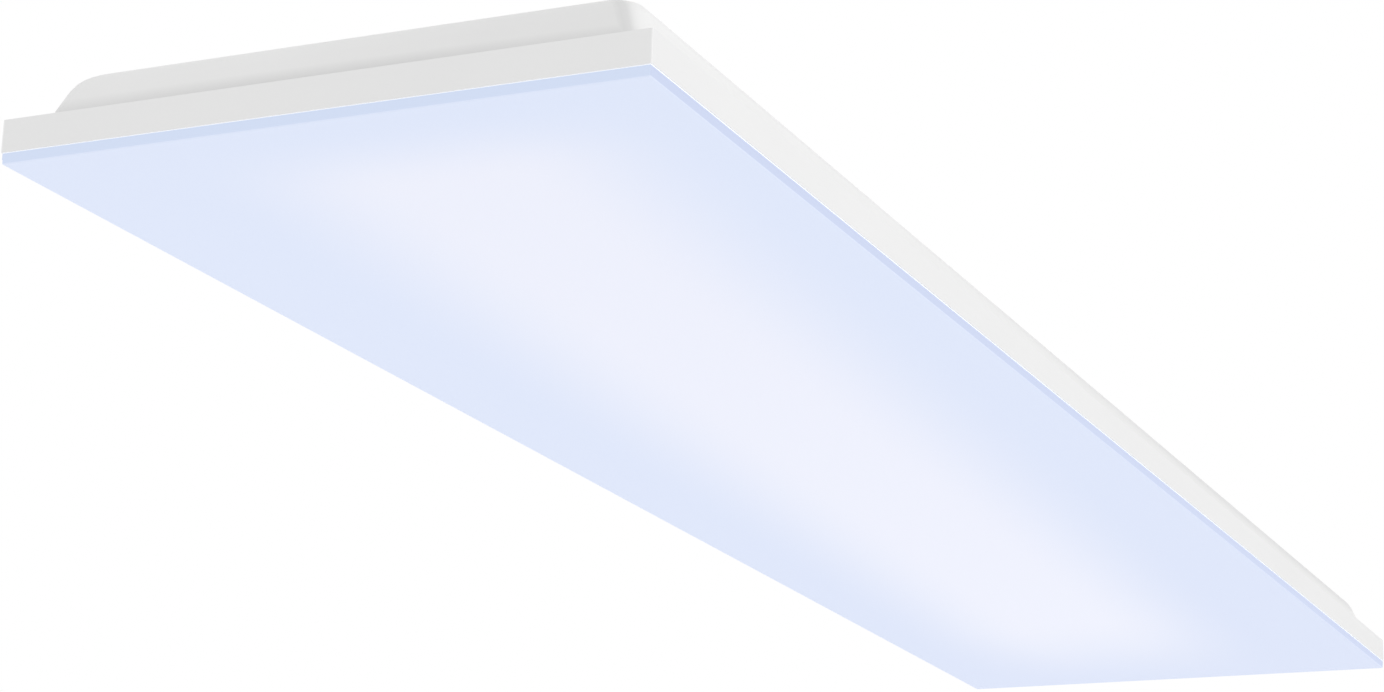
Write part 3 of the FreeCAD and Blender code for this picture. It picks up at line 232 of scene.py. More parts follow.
def where_all(tree, first, *others):
    """The product of shares, which is one only where all of them are one."""
    for other in others:
        first = work_out(tree, "MULTIPLY", first, other)
    return first


def place_along(tree):
    """The distances along X, Y and Z of the point that is shaded."""
    place = tree.nodes.new("ShaderNodeTexCoord")
    split = tree.nodes.new("ShaderNodeSeparateXYZ")
    tree.links.new(place.outputs["Object"], split.inputs["Vector"])
    return split.outputs["X"], split.outputs["Y"], split.outputs["Z"]


def in_from_outline(tree, along, across):
    """How far the point lies in from the nearer end and from the nearer long side of the light."""
    return [work_out(tree, "SUBTRACT", half, work_out(tree, "ABSOLUTE", place))
            for half, place in ((half_length, along), (half_width, across))]


def blend_colours(tree, share, under, over):
    """The colour over laid on the colour under where the share is one."""
    mix = tree.nodes.new("ShaderNodeMix")
    mix.data_type = "RGBA"
    tree.links.new(share, mix.inputs["Factor"])
    for socket, colour in ((mix.inputs["A"], under), (mix.inputs["B"], over)):
        if isinstance(colour, tuple):
            socket.default_value = (*colour, 1)
        else:
            tree.links.new(colour, socket)
    return mix.outputs["Result"]


def raise_relief(tree, shader, height, depth):
    """Gives the surface a relief of the height, in metres from its lowest to its highest."""
    bump = tree.nodes.new("ShaderNodeBump")
    bump.inputs["Distance"].default_value = depth
    tree.links.new(height, bump.inputs["Height"])
    tree.links.new(bump.outputs["Normal"], shader.inputs["Normal"])


def tray_painted_light_and_shade(tree, tone):
    """The tray's tone with a painted highlight by the corners and painted shade on ends and rolled
    edges.
    """
    along, across, up = place_along(tree)
    from_end, from_side = in_from_outline(tree, along, across)
    round_corner = work_out(tree, "SUBTRACT", from_side, from_end)
    # Painted highlight: the tone is lighter on the long walls next to the rounded corners.
    painted_highlight = where_all(tree, number_between(tree, round_corner, 0, 1, *HIGHLIGHT_CORNER),
                     number_between(tree, from_end, 1, HIGHLIGHT_ALONG_LEAST, *HIGHLIGHT_ALONG))
    tone = blend_colours(tree, painted_highlight, tone, POWDER_PAINTED_HIGHLIGHT)
    # Painted shade: darker at the foot of the end walls, across them and beside their bends.
    foot = where_all(tree, number_between(tree, up, 1, 0, tray_rim, tray_rim + SHADE_FOOT_RISE),
                     number_between(tree, work_out(tree, "ABSOLUTE", across), 1, SHADE_FOOT_LEAST,
                                    *SHADE_FOOT_ACROSS))
    bend_shade = where_all(tree, number_between(tree, round_corner, 0, SHADE_BEND_SHARE, *SHADE_BEND_IN),
                     number_between(tree, round_corner, 0, 1, *SHADE_BEND_OUT),
                     number_between(tree, across, 0, 1, *SHADE_BEND_ACROSS))
    wall = number_between(tree, across, 0, SHADE_WALL_SHARE, *SHADE_WALL_ACROSS)
    painted_shade = where_all(tree, number_between(tree, round_corner, 0, 1, *END_WALL),
                     work_out(tree, "MAXIMUM", foot, work_out(tree, "ADD", wall, bend_shade)))
    tone = blend_colours(tree, painted_shade, tone, POWDER_PAINTED_SHADE)
    # Painted shade: darker along the rolled edges, more so towards the far end.
    roll_shade = where_all(tree, number_between(tree, up, 0, SHADE_ROLL_SHARE, *SHADE_ROLL_RISE),
                     number_between(tree, along, 0, 1, *SHADE_ROLL_ALONG))
    return blend_colours(tree, roll_shade, tone, POWDER_PAINTED_SHADE)


def orange_peel(tree, shader, spot, roughness):
    """The relief of a powder coat, and a gloss that changes a little with it."""
    peel = speckle(tree, spot, detail=1.5)
    tree.links.new(number_between(tree, peel, *roughness), shader.inputs["Roughness"])
    raise_relief(tree, shader, peel, PEEL_DEPTH)


def powder_coat(name, light, shade, painted_shading=None):
    """A satin powder coat. A function given last paints light and shade into its tone over the
    piece.
    """
    made, tree, shader = start_finish(name, roughness=0.42)
    tone = shade_between(tree, speckle(tree, POWDER_CLOUD), shade, light)
    # The function given here paints light and shade into the tone.
    if painted_shading:
        tone = painted_shading(tree, tone)
    tree.links.new(tone, shader.inputs["Base Color"])
    orange_peel(tree, shader, PEEL_SPOT, POWDER_ROUGHNESS)
    return made


def dress(names, made):
    """Puts a material on the CAD nodes named."""
    for name in names:
        mesh = nodes[name].data
        if not mesh.materials:
            mesh.materials.append(made)
        for index in range(len(mesh.materials)):
            mesh.materials[index] = made


dress(["ceiling_tray"],
      powder_coat("tray_coat_painted_light_and_shade", POWDER_WHITE, POWDER_SHADE, tray_painted_light_and_shade))


# Hinges: folded steel lugs welded to the tray's wall, and steel ears riveted to the frame's ledge,
# all powder-coated. A headed pin of bright drawn steel joins them. The blind rivets are aluminium,
# each with the hollow that its mandrel leaves.
HINGE_X = (-0.38, 0.38)
HINGE_WHITE = (0.82, 0.82, 0.815)
HINGE_SHADE = (0.79, 0.79, 0.785)
EAR_RIVET_OUT = 0.01465
EAR_TAB = 0.001
RIVET_PROFILE = ((0, 0), (0.0018, 0), (0.0018, 0.00015), (0.00155, 0.0005), (0.0011, 0.00068),
                 (0.00075, 0.0007), (0.0006, 0.0006), (0.00055, 0.00025), (0, 0.0002))
ALUMINIUM = (0.66, 0.67, 0.68)
ALUMINIUM_BRIGHT = (0.76, 0.77, 0.78)
STEEL = (0.55, 0.56, 0.57)
STEEL_BRIGHT = (0.68, 0.69, 0.7)
GRAIN_SPOT = 0.0006
GRAIN_DEPTH = 0.000008
SMEAR_SPOT = 0.006
SMEAR_SPREAD = 0.08
SHARP_ANGLE = 38
frame_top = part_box("frame_rail_hinge")[1].z
pin_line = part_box("hinge_pin_1")[0].lerp(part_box("hinge_pin_1")[1], 0.5)


def bare_metal(name, dark, bright, roughness, stretch=(1, 1, 1)):
    """Bare or plated metal with a fine grain, drawn out along an axis where stretch is over one."""
    made, tree, shader = start_finish(name, roughness, metallic=1.0)
    grain = speckle(tree, GRAIN_SPOT, 3, stretch)
    tree.links.new(shade_between(tree, grain, dark, bright), shader.inputs["Base Color"])
    tree.links.new(number_between(tree, speckle(tree, SMEAR_SPOT, 3), roughness - SMEAR_SPREAD,
                                  roughness + SMEAR_SPREAD), shader.inputs["Roughness"])
    raise_relief(tree, shader, grain, GRAIN_DEPTH)
    return made


def turned(edit, x, y, base, profile, count=24):
    """A form turned about an upright line, from the radius and height of each of its rings."""
    rings = []
    for radius, height in profile:
        ring = []
        for step in range(count if radius else 1):
            angle = 2 * math.pi * step / count
            ring.append(edit.verts.new((x + radius * math.cos(angle), y + radius * math.sin(angle),
                                        base + height)))
        rings.append(ring)
    for lower, upper in zip(rings, rings[1:]):
        for step in range(count):
            after = (step + 1) % count
            corners = [lower[step % len(lower)], lower[after % len(lower)],
                       upper[after % len(upper)], upper[step % len(upper)]]
            edit.faces.new(list(dict.fromkeys(corners)))
    return rings


def finish_piece(name, edit, finishes, body):
    """Turns a mesh under edit into a piece with smooth rounds and crisp edges, riding on a body."""
    bmesh.ops.recalc_face_normals(edit, faces=edit.faces)
    mesh = bpy.data.meshes.new(name)
    edit.to_mesh(mesh)
    edit.free()
    mesh.shade_smooth()
    mesh.set_sharp_from_angle(angle=math.radians(SHARP_ANGLE))
    for finish in finishes:
        mesh.materials.append(finish)
    piece = bpy.data.objects.new(name, mesh)
    scene.collection.objects.link(piece)
    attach(piece, body)
    return piece


dress(["hinge_lug_1", "hinge_lug_2", "hinge_ears_1", "hinge_ears_2"],
      powder_coat("hinge_powder_coat", HINGE_WHITE, HINGE_SHADE))
dress(["hinge_pin_1", "hinge_pin_2"],
      bare_metal("drawn_steel", STEEL, STEEL_BRIGHT, roughness=0.28, stretch=(8, 1, 1)))
rivet_metal = bare_metal("rivet_aluminium", ALUMINIUM, ALUMINIUM_BRIGHT, roughness=0.34)
rivets = bmesh.new()
for hinge_x in HINGE_X:
    for side in (-1, 1):
        turned(rivets, hinge_x + EAR_RIVET_OUT * side, pin_line.y, frame_top + EAR_TAB,
               RIVET_PROFILE)
finish_piece("hinge_rivets", rivets, [rivet_metal], "panel")


# Catches: a keeper bent from zinc-plated strip is spot-welded under the tray and holds a turned
# stud. The clip below it is rolled spring steel, held to the gear plate by two flat rivets.
CATCH_X = (-0.3, 0.3)
CLIP_RIVET_OUT = 0.0028
CLIP_STRIP = 0.0006
FLAT_RIVET_PROFILE = ((0, 0), (0.0013, 0), (0.0013, 0.0001), (0.001, 0.00032), (0.0005, 0.0004),
                      (0, 0.00042))
ZINC = (0.56, 0.575, 0.59)
ZINC_BRIGHT = (0.68, 0.69, 0.7)
SPRING = (0.3, 0.31, 0.33)
SPRING_BRIGHT = (0.43, 0.44, 0.46)
plate_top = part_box("gear_plate")[1].z
clip_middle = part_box("catch_clip_1")[0].lerp(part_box("catch_clip_1")[1], 0.5)

zinc_plate = bare_metal("zinc_plate", ZINC, ZINC_BRIGHT, roughness=0.38, stretch=(6, 1, 1))
dress(["catch_keeper_1", "catch_keeper_2"], zinc_plate)
dress(["catch_stud_1", "catch_stud_2"],
      bare_metal("turned_steel", STEEL, STEEL_BRIGHT, roughness=0.3, stretch=(1, 5, 5)))
dress(["catch_clip_1", "catch_clip_2"],
      bare_metal("spring_steel", SPRING, SPRING_BRIGHT, roughness=0.36, stretch=(1, 7, 7)))
clip_rivets = bmesh.new()
for catch_x in CATCH_X:
    for side in (-1, 1):
        turned(clip_rivets, catch_x + CLIP_RIVET_OUT * side, clip_middle.y, plate_top + CLIP_STRIP,
               FLAT_RIVET_PROFILE)
finish_piece("clip_rivets", clip_rivets, [rivet_metal], "panel")


# Cable grommet: a black rubber ring, moulded in one and snapped over the edge of the tray's cable
# hole, to keep that edge off the mains cable. The bush in the gear plate is of the same rubber.
RUBBER = (0.018, 0.018, 0.02)
RUBBER_WORN = (0.035, 0.035, 0.037)


def moulded_rubber(name):
    """Dull rubber, paler where it is rubbed, with the fine texture of its mould."""
    made, tree, shader = start_finish(name, roughness=0.7)
    rubbed = speckle(tree, spot=0.004, detail=4)
    tree.links.new(shade_between(tree, rubbed, RUBBER, RUBBER_WORN), shader.inputs["Base Color"])
    raise_relief(tree, shader, speckle(tree, spot=0.0005, detail=3), depth=0.00002)
    return made


dress(["cable_grommet", "lead_bush"], moulded_rubber("black_rubber"))


# Frame: four lengths of one drawn aluminium section, mitred, joined over steel corner keys and
# powder-coated white in one go. Each mitre shows as a hairline in the ledge on top, and a painted
# highlight lightens the colour along the sharp upright corners.
FRAME_WHITE = (0.852, 0.852, 0.851)
FRAME_SHADE = (0.836, 0.836, 0.835)
FRAME_CLOUD = 0.11
FRAME_ROUGHNESS = (0.36, 0.45)
FRAME_PEEL_SPOT = 0.00128
# The next colour and band are a painted highlight along the upright corners.
CORNER_PAINTED_HIGHLIGHT = (0.93, 0.93, 0.93)
CORNER_HIGHLIGHT_BAND = (0.0003, 0.0006)
HAIRLINE = (0.35, 0.35, 0.35)
HAIRLINE_HALF = 0.00012
LEDGE_SKIN = 0.0002


def frame_coat():
    """The frame's powder coat with a painted highlight on its upright corners and its mitre
    hairlines.
    """
    made, tree, shader = start_finish("frame_coat_painted_highlight", roughness=0.4)
    tone = shade_between(tree, speckle(tree, FRAME_CLOUD), FRAME_SHADE, FRAME_WHITE)
    along, across, up = place_along(tree)
    from_end, from_side = in_from_outline(tree, along, across)
    off_mitre = work_out(tree, "ABSOLUTE", work_out(tree, "SUBTRACT", from_end, from_side))
    on_mitre = work_out(tree, "LESS_THAN", off_mitre, HAIRLINE_HALF)
    on_ledge = work_out(tree, "GREATER_THAN", up, frame_top - LEDGE_SKIN)
    tone = blend_colours(tree, where_all(tree, on_mitre, on_ledge), tone, HAIRLINE)
    # Painted highlight: the tone is lighter close to the upright corners.
    off_corner = work_out(tree, "MAXIMUM", from_end, from_side)
    on_corner_highlight = number_between(tree, off_corner, 1, 0, *CORNER_HIGHLIGHT_BAND)
    tree.links.new(blend_colours(tree, on_corner_highlight, tone, CORNER_PAINTED_HIGHLIGHT), shader.inputs["Base Color"])
    orange_peel(tree, shader, FRAME_PEEL_SPOT, FRAME_ROUGHNESS)
    return made


dress(["frame_rail_front", "frame_rail_hinge", "frame_rail_near_end", "frame_rail_far_end"],
      frame_coat())


# Corner keys: L-shaped pieces stamped from zinc-plated steel. They are pushed into the channel of
# two rails at each mitre and locked there by punching the rails' walls onto them.
dress(["corner_keys"], zinc_plate)


# Gear plate: flat steel sheet, coated white on the coil before it is blanked, so its skin is
# smoother than the powder and shows faint roller lines. It carries all that is electrical.
COIL_WHITE = (0.87, 0.87, 0.86)
COIL_SHADE = (0.845, 0.845, 0.838)
COIL_ROUGHNESS = (0.28, 0.38)


def coil_coat():
    """A smooth white coat with the faint lines of the rollers along it."""
    made, tree, shader = start_finish("coil_coat", roughness=0.33)
    lines = speckle(tree, spot=0.0012, stretch=(40, 1, 1))
    tree.links.new(shade_between(tree, lines, COIL_SHADE, COIL_WHITE), shader.inputs["Base Color"])
    tree.links.new(number_between(tree, speckle(tree, spot=0.03, detail=3), *COIL_ROUGHNESS),
                   shader.inputs["Roughness"])
    raise_relief(tree, shader, lines, depth=0.000004)
    return made


dress(["gear_plate"], coil_coat())


# Screws: pan heads with a cross recess and a rolled thread, zinc-plated. Twelve hold the gear plate
# to the rails, and two hold the driver's tabs. They stand for the plain screws of the model.
PLATE_SCREWS = ([(x, y) for x in (-0.54, -0.18, 0.18, 0.54) for y in (-0.1285, 0.1285)]
                + [(x, y) for x in (-0.5785, 0.5785) for y in (-0.1, 0.1)])
DRIVER_SCREWS = ((-0.301, 0), (-0.059, 0))
DRIVER_TAB = 0.001
SCREW_PROFILE = ((0, -0.005), (0.0007, -0.005), (0.00115, -0.0042), (0.00115, 0), (0.0029, 0),
                 (0.003, 0.0001), (0.003, 0.0006), (0.0028, 0.0012), (0.0024, 0.0016),
                 (0.00205, 0.00175), (0.0019, 0.0018))
HEAD_HEIGHT = 0.0018
CROSS_REACH = 0.00145
CROSS_HALF = 0.0003
CROSS_DEPTH = 0.0011
CROSS_TAPER = 0.45
THREAD_REACH = (-0.0044, -0.0004)
THREAD_PITCH = 0.001
THREAD_CREST = 0.00145
THREAD_ROOT = 0.00113
THREAD_FLANK = 0.42
RUNOUT_STEPS = 8
RUNOUT_LEAST = 0.05


def rolled_thread(edit, x, y, low, high, root, crest, pitch, count=16):
    """A closed V ridge wound round a shank, running out at both ends."""
    steps = int((high - low) / pitch * count)
    rows = []
    for step in range(steps + 1):
        angle = 2 * math.pi * step / count
        height = low + pitch * step / count
        runout = max(RUNOUT_LEAST, min(1, step / RUNOUT_STEPS, (steps - step) / RUNOUT_STEPS))
        row = []
        ridge = root + (crest - root) * runout
        for radius, offset in ((root, -THREAD_FLANK), (ridge, 0), (root, THREAD_FLANK)):
            row.append(edit.verts.new((x + radius * math.cos(angle), y + radius * math.sin(angle),
                                       height + offset * pitch)))
        rows.append(row)
    for row, following in zip(rows, rows[1:]):
        for side in range(3):
            after = (side + 1) % 3
            edit.faces.new((row[side], following[side], following[after], row[after]))
    edit.faces.new(rows[0])
    edit.faces.new(rows[-1])


def sink_cross(edit, x, y, level, rim, half, reach, taper, depth):
    """Closes a round top inside its rim, with a cross sunk in its middle."""
    outline = [(half, reach), (-half, reach), (-half, half), (-reach, half), (-reach, -half),
               (-half, -half), (-half, -reach), (half, -reach), (half, -half), (reach, -half),
               (reach, half), (half, half)]
    mouth = [edit.verts.new((x + u, y + v, level)) for u, v in outline]
    bottom = [edit.verts.new((x + u * taper, y + v * taper, level - depth)) for u, v in outline]
    edges = []
    for loop in (rim, mouth):
        for point, following in zip(loop, loop[1:] + loop[:1]):
            edges.append(edit.edges.get((point, following)) or edit.edges.new((point, following)))
    bmesh.ops.triangle_fill(edit, use_beauty=True, use_dissolve=False, edges=edges)
    for index in range(len(mouth)):
        after = (index + 1) % len(mouth)
        edit.faces.new((mouth[index], mouth[after], bottom[after], bottom[index]))
    edit.faces.new(bottom)


def pan_head_screw(edit, x, y, seat):
    """One screw, from the point of its shank to the cross in its head."""
    rim = turned(edit, x, y, seat, SCREW_PROFILE)[-1]
    rolled_thread(edit, x, y, seat + THREAD_REACH[0], seat + THREAD_REACH[1],
                  THREAD_ROOT, THREAD_CREST, THREAD_PITCH)
    sink_cross(edit, x, y, seat + HEAD_HEIGHT, rim,
               CROSS_HALF, CROSS_REACH, CROSS_TAPER, CROSS_DEPTH)


screw_zinc = bare_metal("screw_zinc", ZINC, ZINC_BRIGHT, roughness=0.3)
for name, places, seat in (("plate_screws", PLATE_SCREWS, plate_top),
                           ("driver_screws", DRIVER_SCREWS, plate_top + DRIVER_TAB)):
    screws = bmesh.new()
    for x, y in places:
        pan_head_screw(screws, x, y, seat)
    made_screws = finish_piece("cross_" + name, screws, [screw_zinc], "panel")
    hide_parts(name)


# LED boards: aluminium-cored strips under white solder mask, bonded to the underside of the gear
# plate. Two copper tracks run along each board and stand out faintly below the mask.
BOARDS = (1, 2, 3, 4)
MASK_WHITE = (0.86, 0.865, 0.85)
MASK_SHADE = (0.83, 0.835, 0.815)
MASK_ON_TRACK = (0.8, 0.8, 0.76)
TRACK_OUT = 0.007
TRACK_HALF = 0.0011
TRACK_EDGE = 0.0002
board_row = (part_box("led_board_3")[0].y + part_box("led_board_3")[1].y) / 2


def white_solder_mask():
    """White lacquer, raised and a little darker over the two tracks of each board."""
    made, tree, shader = start_finish("white_solder_mask", roughness=0.3)
    tone = shade_between(tree, speckle(tree, spot=0.02, detail=3), MASK_SHADE, MASK_WHITE)
    from_track = place_along(tree)[1]
    # Off the light's middle line, then off a row's, then off a track's.
    for middle in (0, board_row, TRACK_OUT):
        from_track = work_out(tree, "ABSOLUTE", work_out(tree, "SUBTRACT", from_track, middle))
    on_track = number_between(tree, from_track, 1, 0, TRACK_HALF, TRACK_HALF + TRACK_EDGE)
    tree.links.new(blend_colours(tree, on_track, tone, MASK_ON_TRACK), shader.inputs["Base Color"])
    raise_relief(tree, shader, on_track, depth=0.00003)
    return made


dress([f"led_board_{number}" for number in BOARDS], white_solder_mask())


# LEDs: one package under each lens, a white moulded cup with a pad of yellow phosphor in it.
# Each clear acrylic dome, moulded with a polished face, is cemented over its LED.
BOARD_STARTS = (-0.565, 0.005)
LENSES_ALONG = 7
LENS_STEP = 0.08
CUP_HALF = 0.0015
CUP_DEPTH = 0.0007
CUP_EDGE = 0.00025
PAD_PROFILE = ((0, -0.00012), (0.00077, -0.0001), (0.0011, 0.00001), (0, 0.00001))
CUP_WHITE = (0.85, 0.85, 0.83)
CUP_SHADE = (0.8, 0.8, 0.78)
PHOSPHOR = (0.82, 0.68, 0.08)
PHOSPHOR_DEEP = (0.72, 0.54, 0.05)
ACRYLIC = (0.93, 0.95, 0.96)
ACRYLIC_LIGHT = (0.97, 0.98, 0.99)
ACRYLIC_IOR = 1.49
SPARK_GLOSS = (-0.06, 0.08)
SPARK_DEPTH = 0.000014
board_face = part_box("led_board_1")[0].z


def moulded_plastic(name, light, shade, roughness=0.42, spot=0.0011):
    """Moulded plastic with the fine spark texture of its tool and a slow change of tone."""
    made, tree, shader = start_finish(name, roughness)
    cloud = speckle(tree, spot=0.012, detail=4)
    tree.links.new(shade_between(tree, cloud, shade, light), shader.inputs["Base Color"])
    spark = speckle(tree, spot)
    duller = (roughness + change for change in SPARK_GLOSS)
    tree.links.new(number_between(tree, spark, *duller), shader.inputs["Roughness"])
    raise_relief(tree, shader, spark, SPARK_DEPTH)
    return made


def clear_acrylic():
    """Clear acrylic with a polished skin that is very slightly wavy."""
    made, tree, shader = start_finish("clear_acrylic", roughness=0.06)
    shader.inputs["Transmission Weight"].default_value = 1
    shader.inputs["IOR"].default_value = ACRYLIC_IOR
    tree.links.new(shade_between(tree, speckle(tree, spot=0.004), ACRYLIC, ACRYLIC_LIGHT),
                   shader.inputs["Base Color"])
    raise_relief(tree, shader, speckle(tree, spot=0.003, detail=1), depth=0.000004)
    return made


def bevelled_block(edit, low, high, edge):
    """A block between two corners with its edges rounded."""
    made = bmesh.ops.create_cube(edit, size=1)["verts"]
    for vert in made:
        for axis in range(3):
            vert.co[axis] = low[axis] + (vert.co[axis] + 0.5) * (high[axis] - low[axis])
    edges = {line for vert in made for line in vert.link_edges}
    bmesh.ops.bevel(edit, geom=list(edges), offset=edge, segments=2, profile=0.5, affect="EDGES")


cups = bmesh.new()
pads = bmesh.new()
for start in BOARD_STARTS:
    for number in range(LENSES_ALONG):
        x = start + LENS_STEP * (number + 0.5)
        for y in (-board_row, board_row):
            bevelled_block(cups, (x - CUP_HALF, y - CUP_HALF, board_face - CUP_DEPTH),
                           (x + CUP_HALF, y + CUP_HALF, board_face), CUP_EDGE)
            turned(pads, x, y, board_face - CUP_DEPTH, PAD_PROFILE, count=16)
cup_finish = moulded_plastic("led_cup", CUP_WHITE, CUP_SHADE)
phosphor = moulded_plastic("led_phosphor", PHOSPHOR, PHOSPHOR_DEEP, roughness=0.5, spot=0.0003)
finish_piece("led_cups", cups, [cup_finish], "panel")
finish_piece("led_phosphor_pads", pads, [phosphor], "panel")
dress([f"led_lenses_{number}" for number in BOARDS], clear_acrylic())


# Plugs: white moulded nylon. The leads poke into the connectors on the boards and into the driver's
# two connectors, and links join the boards of a row.
NYLON = (0.78, 0.78, 0.74)
NYLON_SHADE = (0.73, 0.73, 0.69)

dress(["board_connectors", "board_links", "driver_input_connector", "driver_output_connector"],
      moulded_plastic("white_nylon", NYLON, NYLON_SHADE, roughness=0.38))


# Driver: a case folded from pale grey coated steel and a white moulded cover with cooling slots and
# grip ribs at both ends. Inside lies a circuit board under green solder mask.
CASE_GREY = (0.56, 0.57, 0.58)
CASE_SHADE = (0.52, 0.53, 0.54)
COVER_WHITE = (0.8, 0.8, 0.785)
COVER_SHADE = (0.76, 0.76, 0.745)
MASK_GREEN = (0.02, 0.13, 0.045)
MASK_GREEN_LIGHT = (0.03, 0.175, 0.062)
COPPER_AREA = 0.0085
COPPER_GAP = (0.07, 0.1)
GRIP_PLACES = (0.008, 0.0106, 0.0132, 0.0158, 0.0184)
GRIP_HALF = 0.0006
GRIP_MARGIN = 0.006
GRIP_ROOT = 0.0002
GRIP_HEIGHT = 0.0005
GRIP_ROUND = 0.00025


def green_solder_mask():
    """Green lacquer that is lighter over the copper areas, which narrow gaps keep apart."""
    made, tree, shader = start_finish("green_solder_mask", roughness=0.28)
    place = tree.nodes.new("ShaderNodeTexCoord")
    reaches = []
    for feature in ("F1", "F2"):
        areas = tree.nodes.new("ShaderNodeTexVoronoi")
        areas.feature = feature
        areas.distance = "MANHATTAN"
        areas.inputs["Scale"].default_value = 1 / COPPER_AREA
        tree.links.new(place.outputs["Object"], areas.inputs["Vector"])
        reaches.append(areas.outputs["Distance"])
    off_gap = work_out(tree, "SUBTRACT", reaches[1], reaches[0])
    area = number_between(tree, off_gap, 0, 1, *COPPER_GAP)
    tree.links.new(blend_colours(tree, area, MASK_GREEN, MASK_GREEN_LIGHT),
                   shader.inputs["Base Color"])
    raise_relief(tree, shader, area, depth=0.00003)
    return made


dress(["driver_case"], powder_coat("case_grey_coat", CASE_GREY, CASE_SHADE))
dress(["driver_board"], green_solder_mask())
cover_white = moulded_plastic("cover_white", COVER_WHITE, COVER_SHADE, roughness=0.46)
dress(["driver_cover"], cover_white)
cover_low, cover_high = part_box("driver_cover")
grips = bmesh.new()
for in_from_end in GRIP_PLACES:
    for x in (cover_low.x + in_from_end, cover_high.x - in_from_end):
        bevelled_block(grips, (x - GRIP_HALF, cover_low.y + GRIP_MARGIN, cover_high.z - GRIP_ROOT),
                       (x + GRIP_HALF, cover_high.y - GRIP_MARGIN, cover_high.z + GRIP_HEIGHT),
                       GRIP_ROUND)
finish_piece("cover_grips", grips, [cover_white], "panel")


# Transformer on the driver's board: a ferrite core round a bobbin of black phenolic, its winding
# wrapped in yellow tape. Tinned pins stand in the bobbin's two rails.
FERRITE = (0.035, 0.036, 0.04)
FERRITE_LIGHT = (0.06, 0.062, 0.068)
TAPE = (0.72, 0.5, 0.05)
TAPE_DEEP = (0.62, 0.41, 0.03)
PHENOLIC = (0.018, 0.018, 0.019)
PHENOLIC_LIGHT = (0.035, 0.035, 0.037)
TIN = (0.6, 0.59, 0.57)
TIN_BRIGHT = (0.72, 0.71, 0.69)
TRANSFORMER_X = (-0.2467, -0.2145)
TRANSFORMER_Y = (-0.007, 0.015)
CORE_IN = 0.0045
YOKE_WIDTH = 0.0042
YOKE_TOP = 0.0086
LEG_WIDTH = 0.004
LEG_IN = 0.004
LEG_TOP = 0.0085
TAPE_IN = (0.0086, 0.0046)
TAPE_TOP = 0.0082
RAIL_WIDTH = 0.0042
RAIL_IN = 0.0016
RAIL_TOP = 0.0046
PINS_IN_RAIL = 5
PIN_STEP = 0.0035
PIN_IN = (0.0021, 0.004)
PIN_PROFILE = ((0, -0.0006), (0.0004, -0.0006), (0.0004, 0.0008), (0.0003, 0.001), (0, 0.001))
board_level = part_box("driver_board")[1].z


def standing_block(edit, low, high, top, edge=0.0003, start=0.0):
    """A rounded block on the driver's board, from a start above it up to its top."""
    bevelled_block(edit, (*low, board_level + start), (*high, board_level + top), edge)


phenolic = moulded_plastic("black_phenolic", PHENOLIC, PHENOLIC_LIGHT, roughness=0.45)
tinned_bar = bare_metal("tinned_copper", TIN, TIN_BRIGHT, roughness=0.32, stretch=(5, 1, 1))
(low_x, high_x), (low_y, high_y) = TRANSFORMER_X, TRANSFORMER_Y
core = bmesh.new()
for y in (low_y, high_y - YOKE_WIDTH):
    standing_block(core, (low_x + CORE_IN, y), (high_x - CORE_IN, y + YOKE_WIDTH), YOKE_TOP,
                   edge=0.0004, start=0.0006)
for x in (low_x + CORE_IN, high_x - CORE_IN - LEG_WIDTH):
    standing_block(core, (x, low_y + LEG_IN), (x + LEG_WIDTH, high_y - LEG_IN), LEG_TOP,
                   edge=0.0002, start=0.0007)
tape = bmesh.new()
standing_block(tape, (low_x + TAPE_IN[0], low_y + TAPE_IN[1]),
               (high_x - TAPE_IN[0], high_y - TAPE_IN[1]), TAPE_TOP, edge=0.0016, start=0.0004)
bobbin = bmesh.new()
pins = bmesh.new()
for x in (low_x, high_x - RAIL_WIDTH):
    standing_block(bobbin, (x, low_y + RAIL_IN), (x + RAIL_WIDTH, high_y - RAIL_IN), RAIL_TOP)
    for number in range(PINS_IN_RAIL):
        turned(pins, x + PIN_IN[0], low_y + PIN_IN[1] + PIN_STEP * number, board_level + RAIL_TOP,
               PIN_PROFILE, count=12)
ferrite = moulded_plastic("ferrite", FERRITE, FERRITE_LIGHT, roughness=0.55, spot=0.0004)
yellow_tape = moulded_plastic("yellow_tape", TAPE, TAPE_DEEP, roughness=0.3, spot=0.002)
transformer = finish_piece("transformer_core", core, [ferrite], "panel")
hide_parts("driver_components")
finish_piece("transformer_tape", tape, [yellow_tape], "panel")
finish_piece("transformer_bobbin", bobbin, [phenolic], "panel")
finish_piece("transformer_pins", pins, [tinned_bar], "panel")


# Film capacitor: a wound film sealed in a moulded blue box with rounded edges, which stands on the
# driver's board between the cans.
FILM_LOW = (-0.1869, -0.015)
FILM_HIGH = (-0.1639, 0.003)
FILM_TOP = 0.00707
BOX_BLUE = (0.05, 0.11, 0.3)
BOX_BLUE_DEEP = (0.035, 0.085, 0.24)

film_box = bmesh.new()
standing_block(film_box, FILM_LOW, FILM_HIGH, FILM_TOP, edge=0.0006)
box_blue = moulded_plastic("box_blue", BOX_BLUE, BOX_BLUE_DEEP, roughness=0.36)
finish_piece("film_capacitor", film_box, [box_blue], "panel")


# Choke: enamelled copper wire wound in one layer on a bobbin of black phenolic, whose flanges keep
# the turns in place.
CHOKE_X = (-0.14435, -0.13285)
CHOKE_Y = (0.001, 0.015)
CHOKE_TOP = 0.00808
FLANGE = 0.0012
SPOOL_IN = 0.0016
TURNS = 12
FIRST_TURN = 0.52
TURN_STEPS = 32
SQUARENESS = 6
WIRE_RADIUS = 0.00046
WIRE_PITCH = 0.00096
WIRE_SIDES = 8
WIRE_LAY = 0.9
COPPER = (0.42, 0.14, 0.045)
COPPER_BRIGHT = (0.6, 0.25, 0.1)

